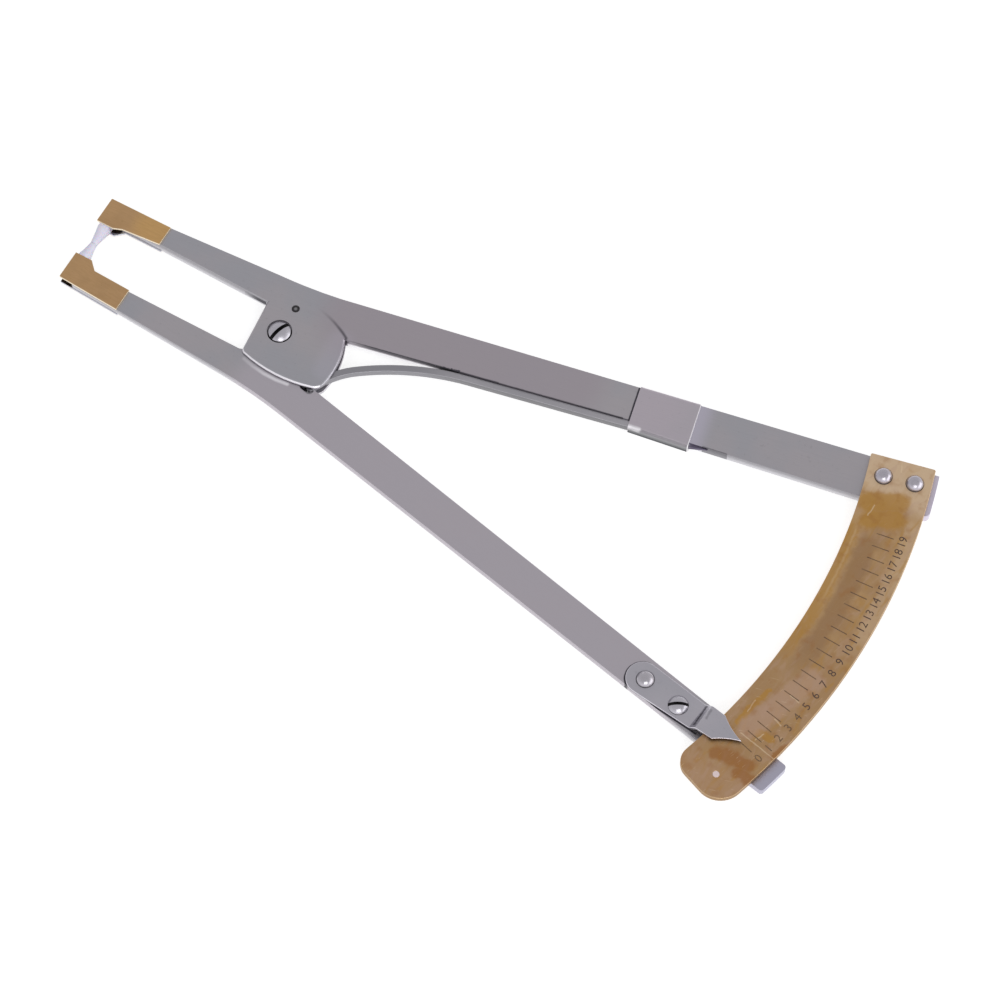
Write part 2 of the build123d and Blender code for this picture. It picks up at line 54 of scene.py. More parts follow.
# Scale lever. The real piece is a bar of flat stainless steel, bent at the pivot, with the upper
# cheek of the fork in one piece with it. Its faces are satin from grinding along the bar, and its
# corners are broken with a fine file.
lever_edge_round = 0.14 * mm
lever_steel_tones = ((0.47, 0.445, 0.47, 1), (0.43, 0.43, 0.465, 1))
# Painted light and shade for the bars' upright sides: a lighter tone low down and a darker one higher up.
lever_side_shading = ((0.64, 0.63, 0.66, 1), (0.34, 0.33, 0.355, 1))
# A dark tone laid both as dirt in seams and as painted shade in steps, notches, gaps and under edges.
grime_and_shade_tone = (0.07, 0.066, 0.08, 1)
scale_lever_slope = 9.5
satin = 0.36
rim_polish = 0.12
weld_distance = 0.002 * mm
flat_angle = radians(0.6)
corner_angle = radians(32)
groove_angle = radians(60)
level_normal = 0.999
numeral_island = 1.5 * mm * mm


def node(tree, kind, values=None, **settings):
    """The outputs of a new node with these settings. A value is a constant or another node's output."""
    made = tree.nodes.new(kind)
    for name, value in settings.items():
        setattr(made, name, value)
    for place, value in (values or {}).items():
        if isinstance(value, bpy.types.NodeSocket):
            tree.links.new(value, made.inputs[place])
        else:
            made.inputs[place].default_value = value
    return made.outputs


def combined(tree, operation, first, second=0.0):
    return node(tree, "ShaderNodeMath", {0: first, 1: second}, operation=operation)[0]


def product(tree, first, *others):
    for other in others:
        first = combined(tree, "MULTIPLY", first, other)
    return first


def strongest(tree, first, *others):
    for other in others:
        first = combined(tree, "MAXIMUM", first, other)
    return first


def vectors(tree, operation, first, second, output="Vector"):
    """A vector worked out from two others, or a number with the output Value."""
    return node(tree, "ShaderNodeVectorMath", {0: first, 1: second}, operation=operation)[output]


def scaled(tree, vector, share):
    return node(tree, "ShaderNodeVectorMath", {0: vector, "Scale": share}, operation="SCALE")[0]


def axis_part(tree, vector, axis):
    return node(tree, "ShaderNodeSeparateXYZ", {0: vector})[axis]


def ramped(tree, value, low, high, to_low=0.0, to_high=1.0):
    """A value spread smoothly from one range to another."""
    ends = {0: value, 1: low, 2: high, 3: to_low, 4: to_high}
    return node(tree, "ShaderNodeMapRange", ends, interpolation_type="SMOOTHSTEP")[0]


def laid(tree, under, over, *masks):
    """The colour over laid on the colour under, as strong as the product of the masks."""
    colours = {0: product(tree, *masks), 6: under, 7: over}
    return node(tree, "ShaderNodeMix", colours, data_type="RGBA")[2]


def layered(tree, colour, *layers):
    """The colour with others laid on it in turn, each given with its masks."""
    for over, *masks in layers:
        colour = laid(tree, colour, over, *masks)
    return colour


def toned(tone, share):
    """A tone made darker or lighter."""
    return [min(1, channel * share) for channel in tone[:3]] + [1]


def noise(tree, place, scale, detail, distortion=0.0, output=0):
    """Cloudy noise as a value, or as a colour with the output 1."""
    values = {"Vector": place, "Scale": scale, "Detail": detail, "Distortion": distortion}
    return node(tree, "ShaderNodeTexNoise", values)[output]


def drawn_out_noise(tree, place, lean, sizes, detail, distortion):
    """Noise drawn out along lines that lean by this angle. The sizes are in millimetres."""
    values = {"Vector": place, "Rotation": (0, 0, lean), "Scale": [size * mm for size in sizes]}
    lying = node(tree, "ShaderNodeMapping", values, vector_type="TEXTURE")[0]
    return noise(tree, lying, 1.0, detail, distortion)


def shader_group(name, inputs, outputs):
    """An empty shader node group with named inputs and outputs, and its two end nodes."""
    tree = bpy.data.node_groups.new(name, "ShaderNodeTree")
    for label, kind in inputs.items():
        tree.interface.new_socket(label, in_out="INPUT", socket_type="NodeSocket" + kind)
    for label, kind in outputs.items():
        tree.interface.new_socket(label, in_out="OUTPUT", socket_type="NodeSocket" + kind)
    return tree, tree.nodes.new("NodeGroupInput").outputs, tree.nodes.new("NodeGroupOutput").inputs


# Fine lines left by the grinding belt, and the few deeper scratches that cross them
ground_finish, given, made = shader_group(
    "ground finish",
    {"Vector": "Vector", "Line Width": "Float", "Line Length": "Float"},
    {"Grain": "Float", "Scratches": "Float"},
)
lines = {"X": given["Line Length"], "Y": given["Line Width"], "Z": given["Line Width"]}
line_size = node(ground_finish, "ShaderNodeCombineXYZ", lines)[0]
grain = noise(ground_finish, vectors(ground_finish, "DIVIDE", given["Vector"], line_size), 1.0, 3.0)
scratch = drawn_out_noise(ground_finish, given["Vector"], 0.7, (11, 0.4, 1.1), 1.0, 0.6)
ground_finish.links.new(grain, made["Grain"])
ground_finish.links.new(ramped(ground_finish, scratch, 0.70, 0.76), made["Scratches"])

# What years of handling leave: broad cloudy changes of sheen, and small dull specks
handling, given, made = shader_group(
    "handling marks",
    {"Vector": "Vector", "Cloud Size": "Float", "Speck Size": "Float"},
    {"Clouds": "Float", "Specks": "Float"},
)
for size, detail, label, low, high in (
    ("Cloud Size", 4.0, "Clouds", 0.36, 0.64),
    ("Speck Size", 2.0, "Specks", 0.66, 0.72),
):
    scale = combined(handling, "DIVIDE", 1.0, given[size])
    mark = noise(handling, given["Vector"], scale, detail)
    handling.links.new(ramped(handling, mark, low, high), made[label])

# How far a place is from a straight line between two places, seen from above
line_distance, given, made = shader_group(
    "distance from a line", {"Vector": "Vector", "Start": "Vector", "End": "Vector"}, {"Distance": "Float"}
)
flat = vectors(line_distance, "MULTIPLY", given["Vector"], (1, 1, 0))
run = vectors(line_distance, "SUBTRACT", given["End"], given["Start"])
away = vectors(line_distance, "SUBTRACT", flat, given["Start"])
passed = vectors(line_distance, "DOT_PRODUCT", away, run, "Value")
whole = vectors(line_distance, "DOT_PRODUCT", run, run, "Value")
share = node(line_distance, "ShaderNodeMath", {0: passed, 1: whole}, operation="DIVIDE", use_clamp=True)[0]
foot = scaled(line_distance, run, share)
line_distance.links.new(vectors(line_distance, "DISTANCE", away, foot, "Value"), made["Distance"])


def away_from(tree, place, start, end):
    """The distance from a line, seen from above. The places of the line are in millimetres."""
    ends = {"Start": (start[0] * mm, start[1] * mm, 0), "End": (end[0] * mm, end[1] * mm, 0)}
    return node(tree, "ShaderNodeGroup", {"Vector": place, **ends}, node_tree=line_distance)[0]


def near_line(tree, place, start, end, full, none):
    """1 within the distance full of a line, falling to 0 at the distance none, in millimetres."""
    return ramped(tree, away_from(tree, place, start, end), none * mm, full * mm)


def near_circle(tree, place, middle, radius, full, none):
    """1 within the distance full of a circle, falling to 0 at the distance none, in millimetres."""
    off = combined(tree, "SUBTRACT", away_from(tree, place, middle, middle), radius * mm)
    return ramped(tree, combined(tree, "ABSOLUTE", off), none * mm, full * mm)


def near_path(tree, place, spots, full, none):
    """As near_line, along a row of places."""
    stretches = zip(spots, spots[1:])
    return strongest(tree, *[near_line(tree, place, start, end, full, none) for start, end in stretches])


def shaken(tree, place, size, push):
    """The place pushed about by fine noise, so that the marks there get ragged edges."""
    centred = vectors(tree, "SUBTRACT", noise(tree, place, 1 / (size * mm), 3.0, output=1), (0.5, 0.5, 0.5))
    return vectors(tree, "ADD", place, scaled(tree, centred, push * mm))


def object_place(tree):
    return node(tree, "ShaderNodeTexCoord")["Object"]


def facing_up(tree):
    """1 on faces that look straight up, 0 on upright ones, -1 on those that look down."""
    return axis_part(tree, node(tree, "ShaderNodeTexCoord")["Normal"], "Z")


def upward(tree):
    """1 on faces that look straight up or down, 0 on upright ones."""
    return ramped(tree, combined(tree, "ABSOLUTE", facing_up(tree)), 0.25, 0.6)


def rounded(tree):
    """1 on the sloping faces of a rounded upper edge, 0 on flat and upright ones."""
    facing = facing_up(tree)
    return product(tree, ramped(tree, facing, 0.2, 0.4), ramped(tree, facing, 0.95, 0.8))


def rim_mask(tree):
    """1 on the broken corners that dressed marks."""
    return node(tree, "ShaderNodeAttribute", attribute_name="rim")["Fac"]


def smoother_rim(tree, dull, rim):
    return combined(tree, "SUBTRACT", dull, product(tree, rim, rim_polish))


def new_material(name, constants):
    """A material with these constants on its shader, its node tree and the shader's inputs."""
    material = bpy.data.materials.new(name)
    material.use_nodes = True
    shader = material.node_tree.nodes["Principled BSDF"].inputs
    for label, value in constants.items():
        shader[label].default_value = value
    return material, material.node_tree, shader


def surfaced(tree, shader, colour, roughness=None, relief=None):
    """Puts a colour, a roughness and a relief, given as strength, depth and height, on the shader."""
    tree.links.new(colour, shader["Base Color"])
    if roughness is not None:
        tree.links.new(roughness, shader["Roughness"])
    if relief:
        strength, depth, height = relief
        bump = node(tree, "ShaderNodeBump", {"Strength": strength, "Distance": depth, "Height": height})
        tree.links.new(bump[0], shader["Normal"])


def handling_marks(tree, place, cloud_size, speck_size):
    """The clouds and specks of handling, with their sizes in millimetres."""
    sizes = {"Cloud Size": cloud_size * mm, "Speck Size": speck_size * mm}
    return node(tree, "ShaderNodeGroup", {"Vector": place, **sizes}, node_tree=handling)


def grinding_marks(tree, place, slope, line_width, line_length):
    """The grain and scratches of grinding along the slope, with sizes in millimetres."""
    turned = {"Vector": place, "Rotation": (0, 0, -radians(slope))}
    values = {"Line Width": line_width * mm, "Line Length": line_length * mm}
    values["Vector"] = node(tree, "ShaderNodeMapping", turned)[0]
    return node(tree, "ShaderNodeGroup", values, node_tree=ground_finish)


def ground_steel(name, slope, tones, roughness, rim_light, marked, side_shading=lever_side_shading):
    """Satin steel, ground along a bar that lies at the slope, with painted light and shade on its sides and
    a painted highlight on its broken edges.
    The marks are a function that lays this piece's own dirt, wear, painted shade and painted highlights
    over its colour."""
    material, tree, shader = new_material(name, {"Metallic": 1.0})
    place = object_place(tree)
    finish = grinding_marks(tree, place, slope, line_width=0.16, line_length=5.0)
    marks = handling_marks(tree, place, cloud_size=16, speck_size=0.9)
    rim = rim_mask(tree)
    tone, shade = tones
    colour = laid(tree, tone, shade, marks["Clouds"])
    colour = laid(tree, colour, toned(tone, 0.88), ramped(tree, finish["Grain"], 0.3, 0.7, 0.0, 0.2))
    colour = laid(tree, colour, toned(tone, 0.62), marks["Specks"], 0.22)
    # Painted light and shade on the upright sides, lighter low down and darker higher up, in place of
    # reflections.
    shaded_sides = laid(tree, *side_shading, ramped(tree, axis_part(tree, place, "Z"), 0.9 * mm, 2.9 * mm))
    colour = laid(tree, shaded_sides, colour, upward(tree))
    # A painted highlight on the broken corners: the tone made lighter by rim_light.
    colour = marked(tree, place, laid(tree, colour, toned(tone, rim_light), rim))
    dull = ramped(tree, finish["Grain"], 0.25, 0.75, roughness - 0.05, roughness + 0.07)
    worn = combined(tree, "ADD", dull, product(tree, marks["Clouds"], 0.05))
    cut = combined(tree, "SUBTRACT", finish["Grain"], product(tree, finish["Scratches"], 0.8))
    surfaced(tree, shader, colour, smoother_rim(tree, worn, rim), (0.15, 0.005 * mm, cut))
    return material


def worked_in(piece):
    """The piece with its modifiers worked into one plain mesh."""
    bpy.context.view_layer.update()
    graph = bpy.context.evaluated_depsgraph_get()
    mesh = bpy.data.meshes.new_from_object(piece.evaluated_get(graph), depsgraph=graph)
    piece.modifiers.clear()
    piece.data = mesh
    mesh.name = piece.name
    return piece


def in_scene(name, data):
    thing = bpy.data.objects.new(name, data)
    bpy.context.scene.collection.objects.link(thing)
    return thing


def dressed(cad_node, name, edge_round, material, engraving=None):
    """The piece of the CAD model, welded from its loose triangles, with its corners broken."""
    shape = bmesh.new()
    shape.from_mesh(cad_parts[cad_node].data)
    bmesh.ops.remove_doubles(shape, verts=shape.verts, dist=weld_distance)
    bmesh.ops.dissolve_limit(shape, angle_limit=flat_angle, verts=shape.verts, edges=shape.edges)
    for face in shape.faces:
        face.smooth = True
        face.material_index = 0
    mesh = bpy.data.meshes.new(name)
    shape.to_mesh(mesh)
    shape.free()
    corner_mark = bpy.data.materials.new("broken corners")
    mesh.materials.append(material)
    mesh.materials.append(corner_mark)
    piece = in_scene(name, mesh)
    broken = piece.modifiers.new("broken corners", "BEVEL")
    broken.width = edge_round
    broken.segments = 2
    broken.limit_method = "ANGLE"
    broken.angle_limit = corner_angle
    broken.material = 1
    if engraving:
        cut = piece.modifiers.new("engraving", "BOOLEAN")
        cut.operation = "DIFFERENCE"
        cut.solver = "EXACT"
        cut.material_mode = "TRANSFER"
        cut.object = engraving
        worked_in(piece).data.set_sharp_from_angle(angle=groove_angle)
        for face in piece.data.polygons:
            face.use_smooth = face.normal.z < level_normal or face.area > numeral_island
    even = piece.modifiers.new("even faces", "WEIGHTED_NORMAL")
    even.weight = 80
    even.keep_sharp = True
    worked_in(piece)
    worn = [piece.data.materials[face.material_index] for face in piece.data.polygons]
    rim = piece.data.attributes.new("rim", "FLOAT", "FACE")
    rim.data.foreach_set("value", [float(one == corner_mark) for one in worn])
    others = [one for one in piece.data.materials if one not in (material, corner_mark)]
    piece.data.materials.clear()
    for one in [material, *others]:
        piece.data.materials.append(one)
    piece.data.polygons.foreach_set("material_index", [int(one in others) for one in worn])
    bpy.data.materials.remove(corner_mark)
    return piece


# Where the scale lever's marks lie, in millimetres, seen from above, and their tones
cheek_step_middle = (0.25, -15.13)
cheek_step_shade_radius = 24.35
cheek_right_edge = ((12.2, 4.5), (12.9, -3.0))
cheek_front_edge = ((-4.6, -8.1), (-0.5, -8.7), (3.0, -9.1), (6.0, -9.2), (10.0, -8.7), (13.2, -7.4))
fork_corner = ((-11.5, 5.08), (-6.6, 5.0))
fork_notch = ((10.4, -8.1), (12.2, -8.1))
clip_left_end = ((72.38, 26.5), (74.42, 17.1))
clip_right_end = ((85.53, 29.15), (87.79, 18.75))
lever_inner_side = ((13.6, 5.35), (41.0, 11.3))
spring_gap = ((13.6, 5.35), (46.0, 12.39))
spring_joint = ((45.0, 12.17), (72.6, 18.16))
spring_blot = ((33.5, 9.6), (37.5, 10.6))
tail_dark_line = ((90.5, 20.5), (95.5, 21.4))
handled_stretch = ((16, 12), (55, 20))
handled_tone = (0.435, 0.395, 0.43, 1)
painted_violet_reflection = (0.57, 0.54, 0.64, 1)
lever_end_reflection = (0.74, 0.68, 0.81, 1)
edge_highlight_tone = (0.93, 0.91, 0.95, 1)
mirrored_table = (0.97, 0.96, 0.98, 1)


def scale_lever_marks(tree, place, colour):
    """Painted shade in the step, the fork's corner and notch, along the spring and beside the clip, dark
    seams, a painted highlight on the edge below the cheek, and painted reflections by the clip, the cheek
    and the lever's end.
    """
    along = axis_part(tree, place, "X")
    height = axis_part(tree, place, "Z")
    loose = shaken(tree, place, 0.8, 0.15)
    # Painted reflections: lighter and violet right of the clip and beside the cheek's right edge.
    clip_reflection = near_line(tree, place, *clip_right_end, 0.6, 4.4)
    cheek_reflection = product(tree, near_line(tree, place, *cheek_right_edge, 0.8, 4.0), 0.3)
    bright = near_line(tree, place, *lever_inner_side, 0.1, 0.25)
    # Painted shade in the corner in front of the fork, low on the side under the cheek.
    corner = product(
        tree,
        near_line(tree, place, *fork_corner, 0.12, 0.3),
        ramped(tree, height, 2.9 * mm, 2.6 * mm),
        ramped(tree, height, 1.1 * mm, 1.5 * mm),
        ramped(tree, along, -12 * mm, -8 * mm, 0.2, 1.0),
    )
    # Painted shade along the cheek's step.
    step = product(
        tree,
        near_circle(tree, loose, cheek_step_middle, cheek_step_shade_radius, 0.08, 0.6),
        ramped(tree, along, 4 * mm, 12.5 * mm, 0.0, 0.75),
        ramped(tree, along, 13.6 * mm, 12.9 * mm),
    )
    # Painted shade under the lever's edge along the spring's gap.
    shade = product(
        tree,
        near_line(tree, loose, *spring_gap, 0.1, 0.3),
        ramped(tree, along, 13 * mm, 19 * mm, 0.2, 0.9),
        ramped(tree, height, 1.9 * mm, 2.5 * mm),
    )
    low = ramped(tree, height, 2.9 * mm, 2.7 * mm)
    # Painted shade in the notch under the cheek.
    notch_shade = product(tree, near_line(tree, place, *fork_notch, 0.4, 1.3), low, 0.8)
    joint = product(tree, near_line(tree, loose, *spring_joint, 0.04, 0.22), 0.75)
    # A dark line along the edge right of the spring's tail.
    tail_line = product(tree, near_line(tree, loose, *tail_dark_line, 0.1, 0.3), 0.6)
    # Painted shadow on the lever beside the clip's left end.
    clip_end_shadow = near_line(tree, loose, *clip_left_end, 0.2, 0.38)
    blot = near_line(tree, shaken(tree, place, 0.7, 1.1), *spring_blot, 0.1, 0.45)
    return layered(
        tree,
        colour,
        (handled_tone, near_line(tree, place, *handled_stretch, 7, 15), 0.9),
        (painted_violet_reflection, strongest(tree, clip_reflection, cheek_reflection), 0.75),
        # A painted reflection: the lever's end beyond the arc made lighter.
        (lever_end_reflection, ramped(tree, along, 134.5 * mm, 136 * mm, 0.0, 0.85)),
        # A painted highlight on the rounded edge below the cheek's front.
        (edge_highlight_tone, near_path(tree, place, cheek_front_edge, 0.7, 1.1), rounded(tree)),
        (mirrored_table, bright, ramped(tree, height, 2.1 * mm, 1.6 * mm)),
        (grime_and_shade_tone, strongest(tree, corner, step, clip_end_shadow, notch_shade, shade, joint, tail_line, blot)),
    )


scale_lever_steel = ground_steel(
    "scale lever steel", scale_lever_slope, lever_steel_tones, satin, 1.45, scale_lever_marks
)
scale_lever = dressed("scale_arm", "scale_lever", lever_edge_round, scale_lever_steel)
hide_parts("scale_arm")
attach(scale_lever, "scale_side")

# Rear cover. The fork's lower plate, stamped from thin stainless sheet. It lies on the table and
# closes the joint from below, held by the cover pin and the pivot screw.
rear_plate = dressed("rear_cover", "rear_plate", 0.1 * mm, scale_lever_steel)
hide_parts("rear_cover")
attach(rear_plate, "scale_side")

# Pointer lever. A thinner bar of the same steel, bent the other way, with a round lug that turns
# inside the fork and a half-round notch for the spring's tip.
pointer_lever_slope = -9.5
wiped_tone = (0.525, 0.485, 0.53, 1)
wiped_stretch = ((8, -13), (105, -31))
bluish_end_reflection = (0.50, 0.49, 0.60, 1)
cheek_edge_reflection = ((-3.4, -8.9), (-1.0, -9.5), (2.0, -9.9), (5.0, -9.9), (7.6, -9.6))
lug_notch = ((10.9, -8.35), (12.3, -8.65))
pointer_turns_at = Vector((105.45, -31.60))
pointer_points_at = Vector((129.12, -34.70))
heel_shade_radius = 3.68


def on_the_pointer(along, across):
    """A place on the closed caliper, from its distances along and across the pointer, in millimetres."""
    ahead = (pointer_points_at - pointer_turns_at).normalized()
    return pointer_turns_at + ahead * along + Vector((-ahead.y, ahead.x)) * across


def pointer_lever_marks(tree, place, colour):
    """Painted shade in the notch, round the pointer's heel and below the blade's lower edge, and painted
    reflections along the cheek's edge and at the lever's end.
    """
    along = axis_part(tree, place, "X")
    loose = shaken(tree, place, 0.8, 0.15)
    # A painted reflection of the cheek's lower edge, as a light band on the lever's top.
    worn = product(tree, near_path(tree, place, cheek_edge_reflection, 0.05, 0.65), upward(tree))
    # Painted shade in the lug's notch.
    notch_shade = product(tree, near_line(tree, place, *lug_notch, 0.5, 1.0), 0.75)
    # Painted shade round the pointer's heel and, thin, under the blade's lower edge.
    heel = near_circle(tree, loose, on_the_pointer(-0.6, 0), heel_shade_radius, 0.1, 0.3)
    behind = near_line(tree, place, on_the_pointer(-3.6, -2.6), on_the_pointer(-3.2, 3.4), 1.2, 2.2)
    beneath = near_line(tree, place, on_the_pointer(-1.0, -3.6), on_the_pointer(15.0, -3.3), 0.1, 0.24)
    beneath = product(tree, beneath, upward(tree))
    return layered(
        tree,
        colour,
        (wiped_tone, near_line(tree, place, *wiped_stretch, 8, 14), 0.8),
        # A painted bluish reflection at the lever's end.
        (bluish_end_reflection, ramped(tree, along, 126 * mm, 130 * mm, 0.0, 0.9)),
        (edge_highlight_tone, worn, ramped(tree, along, -3.0 * mm, 4.0 * mm, 0.3, 0.85)),
        (grime_and_shade_tone, strongest(tree, notch_shade, product(tree, heel, behind), beneath)),
    )


pointer_lever_steel = ground_steel(
    "pointer lever steel", pointer_lever_slope, lever_steel_tones, satin, 1.45, pointer_lever_marks
)
pointer_lever = dressed("pointer_arm", "pointer_lever", lever_edge_round, pointer_lever_steel)
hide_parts("pointer_arm")
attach(pointer_lever, "pointer_side")

# Cover pin and stop pin. Round steel wire, cut off and driven in flush. A dark ring of old polish
# and dirt stands round the cover pin, and its end is a little brighter in the middle.
cover_pin_tone = (0.26, 0.255, 0.27, 1)
# The stop pin's end gets a pale pinkish tone, a painted highlight.
stop_pin_highlight = (0.95, 0.79, 0.78, 1)
pin_ring_tone = (0.055, 0.052, 0.055, 1)


def pin_end(name, middle, radius, ring, tone):
    """Steel with a dirty ring round its edge and a lighter middle, seen from above."""
    material, tree, shader = new_material(name, {"Metallic": 1.0})
    place = object_place(tree)
    rough = noise(tree, place, 2600.0, 2.0)
    distance = away_from(tree, place, middle / mm, middle / mm)
    uneven = combined(tree, "ADD", distance, product(tree, rough, 0.3 * radius))
    dirty = ramped(tree, uneven, radius * 0.3, radius * 0.75, 0.0, ring)
    colour = laid(tree, tone, pin_ring_tone, dirty)
    surfaced(tree, shader, colour, ramped(tree, rough, 0.3, 0.7, 0.3, 0.5), (0.4, 0.02 * mm, rough))
    return material


for cad_node, name, ring, tone in (
    ("cover_pin", "pin_of_the_cover", 1.0, cover_pin_tone),
    ("stop_pin", "pin_of_the_stop", 0.0, stop_pin_highlight),
):
    low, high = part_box(cad_node)
    pin_steel = pin_end(name + " steel", (low + high) / 2, (high.x - low.x) / 2, ring, tone)
    pin = dressed(cad_node, name, 0.06 * mm, pin_steel)
    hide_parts(cad_node)
    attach(pin, "scale_side")

# Screws. The pivot screw holds the fork and is the pin that the levers turn on; the pointer's screw
# locks the zero. Both are turned and polished, with low round heads that darken towards their seats and a
# sawn slot in painted shade.
screw_tone = (0.52, 0.505, 0.55, 1)
screw_edge_round = 0.05 * mm
far_side = (-0.4955, 0.8686, 0)
slot_shade_tone = (0.03, 0.028, 0.03, 1)


def step_to(angle, length=1.0):
    """A step of this length in the direction of an angle."""
    return Vector((cos(angle), sin(angle))) * length


def polished_steel(name, tone, roughness, seat, dark_reach, slot=None):
    """Polished steel that gets duller and darker towards its seat, less so on its far side, with painted
    shade in its slot.
    The slot is given by its middle, its angle in degrees, and half its length and width in mm."""
    material, tree, shader = new_material(name, {"Metallic": 1.0})
    place = object_place(tree)
    marks = handling_marks(tree, place, cloud_size=1.6, speck_size=0.4)
    wavy = combined(tree, "ADD", axis_part(tree, place, "Z"), product(tree, marks["Clouds"], 0.08 * mm))
    # Darker and duller towards the seat, and less so on the far side of a slotted head.
    darkening = ramped(tree, wavy, seat + dark_reach, seat + 0.05 * mm)
    if slot:
        middle, angle, half_length, half_width = slot
        reach = step_to(radians(angle), half_length)
        centred = vectors(tree, "SUBTRACT", place, (*(middle * mm), 0))
        behind = vectors(tree, "DOT_PRODUCT", centred, far_side, "Value")
        near_side_ring = product(tree, darkening, ramped(tree, behind, 0.2 * mm, 1.3 * mm, 1.0, 0.3))
        # Painted shade in the sawn slot.
        slot_shade_mask = near_line(tree, place, middle - reach, middle + reach, half_width + 0.01, half_width + 0.05)
        darkening = strongest(tree, near_side_ring, slot_shade_mask)
    worn = laid(tree, tone, toned(tone, 0.55), marks["Specks"], 0.5)
    cloudy = ramped(tree, marks["Clouds"], 0.0, 1.0, roughness, roughness + 0.1)
    dull = combined(tree, "ADD", cloudy, product(tree, darkening, 0.4))
    surfaced(tree, shader, laid(tree, worn, slot_shade_tone, darkening), dull)
    return material


pivot_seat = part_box("scale_arm")[1].z - 0.15 * mm
pivot_slot = (Vector((0, 0)), 72, 3.0, 0.375)
low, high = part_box("pointer_screw")
pointer_seat = high.z - 1.1 * mm
zero_slot = (((low + high) / 2 / mm).to_2d(), 28, 2.6, 0.3)
for cad_node, name, body, roughness, seat, dark_reach, slot in (
    ("pivot_screw", "screw_of_the_pivot", "scale_side", 0.24, pivot_seat, 0.2 * mm, pivot_slot),
    ("pointer_screw", "screw_of_the_pointer", "pointer_side", 0.22, pointer_seat, 0.25 * mm, zero_slot),
):
    steel_name = cad_node.replace("_", " ") + " steel"
    screw_steel = polished_steel(steel_name, screw_tone, roughness, seat, dark_reach, slot)
    screw = dressed(cad_node, name, screw_edge_round, screw_steel)
    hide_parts(cad_node)
    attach(screw, body)

# Leaf spring. A flat strip of tempered steel that stands on edge along the scale lever. Its free
# end is bowed down under the cheek, and its tip pushes in the pointer lever's notch.
spring_thickness = 1.45 * mm
spring_low = 0.925 * mm
spring_height = 1.8 * mm
spring_seat_height = 2.39 * mm
spring_slope_angle = 12.26
spring_slope = radians(spring_slope_angle)
lever_edge_height = 4.15 * mm
lever_edge_slope = radians(10.24)
spring_seat_end_x = 76.0 * mm
spring_ramp_end_x = 84.0 * mm
spring_low_x = 73.4 * mm
spring_lift_x = 39.9 * mm
spring_straight_parts = 20
spring_corner = 0.05 * mm
spring_tones = ((0.47, 0.455, 0.485, 1), (0.42, 0.41, 0.44, 1))
# Painted shade: dark tones for the strip's upright sides.
spring_side_shading = ((0.25, 0.245, 0.255, 1), (0.20, 0.195, 0.21, 1))
spring_tip = ((10.6, -8.4), (11.6, -8.4))
bow_tone = (0.31, 0.305, 0.33, 1)
tail_shade_tone = (0.10, 0.08, 0.14, 1)

# The tail's places along X, with the strip's thickness and height there, in millimetres
spring_tail = (
    (91.5, 0.2, 0.3),
    (90.2, 0.41, 0.5),
    (88.8, 0.64, 0.75),
    (87.5, 0.84, 1.0),
    (86.0, 0.87, 1.4),
    (84.0, 0.90, 1.8),
    (82.0, 1.05, 1.8),
    (80.0, 1.20, 1.8),
    (78.0, 1.32, 1.8),
    (76.0, 1.42, 1.8),
)

# The bow's two bends: radius, sweep in degrees, and number of parts
spring_bends = ((56.5 * mm, 24.4, 40), (17.2 * mm, 35.2, 40))


def spring_route():
    """Points along the strip's middle, from tail to tip, each with heading, thickness and height."""
    heading = spring_slope + pi
    side = step_to(spring_slope - pi / 2)
    seat_start = Vector((spring_low_x, spring_seat_height + spring_low_x * tan(spring_slope)))
    seat_end_y = spring_seat_height + spring_seat_end_x * tan(spring_slope)
    ramp_end_y = lever_edge_height + spring_ramp_end_x * tan(lever_edge_slope)
    ramp_slope = (ramp_end_y - seat_end_y) / (spring_ramp_end_x - spring_seat_end_x)
    route = []
    for across, thick, tall in spring_tail:
        x = across * mm
        y = lever_edge_height + x * tan(lever_edge_slope)
        if x < spring_ramp_end_x:
            y = ramp_end_y + (x - spring_ramp_end_x) * ramp_slope
        route.append((Vector((x, y)) + side * thick * mm / 2, heading, thick * mm, tall * mm))
    straight_start = seat_start + side * spring_thickness / 2
    run = (spring_low_x - spring_lift_x) / cos(spring_slope)
    for part in range(spring_straight_parts + 1):
        spot = straight_start + step_to(heading, run * part / spring_straight_parts)
        route.append((spot, heading, spring_thickness, spring_height))
    place = route[-1][0]
    for radius, sweep, parts in spring_bends:
        turn = radians(sweep) / parts
        for _ in range(parts):
            place = place + step_to(heading + turn / 2, 2 * radius * sin(turn / 2))
            heading += turn
            route.append((place, heading, spring_thickness, spring_height))
    for angle in range(15, 91, 15):
        ahead = step_to(heading, spring_thickness / 2 * sin(radians(angle)))
        thick = max(spring_thickness * cos(radians(angle)), 0.3 * mm)
        route.append((place + ahead, heading, thick, spring_height))
    return route


def smoothed(shape, mesh, sharp_angle):
    """The shape, turned outwards and smooth but for its sharp edges, written into the mesh."""
    bmesh.ops.recalc_face_normals(shape, faces=shape.faces)
    for face in shape.faces:
        face.smooth = True
    shape.to_mesh(mesh)
    shape.free()
    mesh.set_sharp_from_angle(angle=sharp_angle)
    return mesh


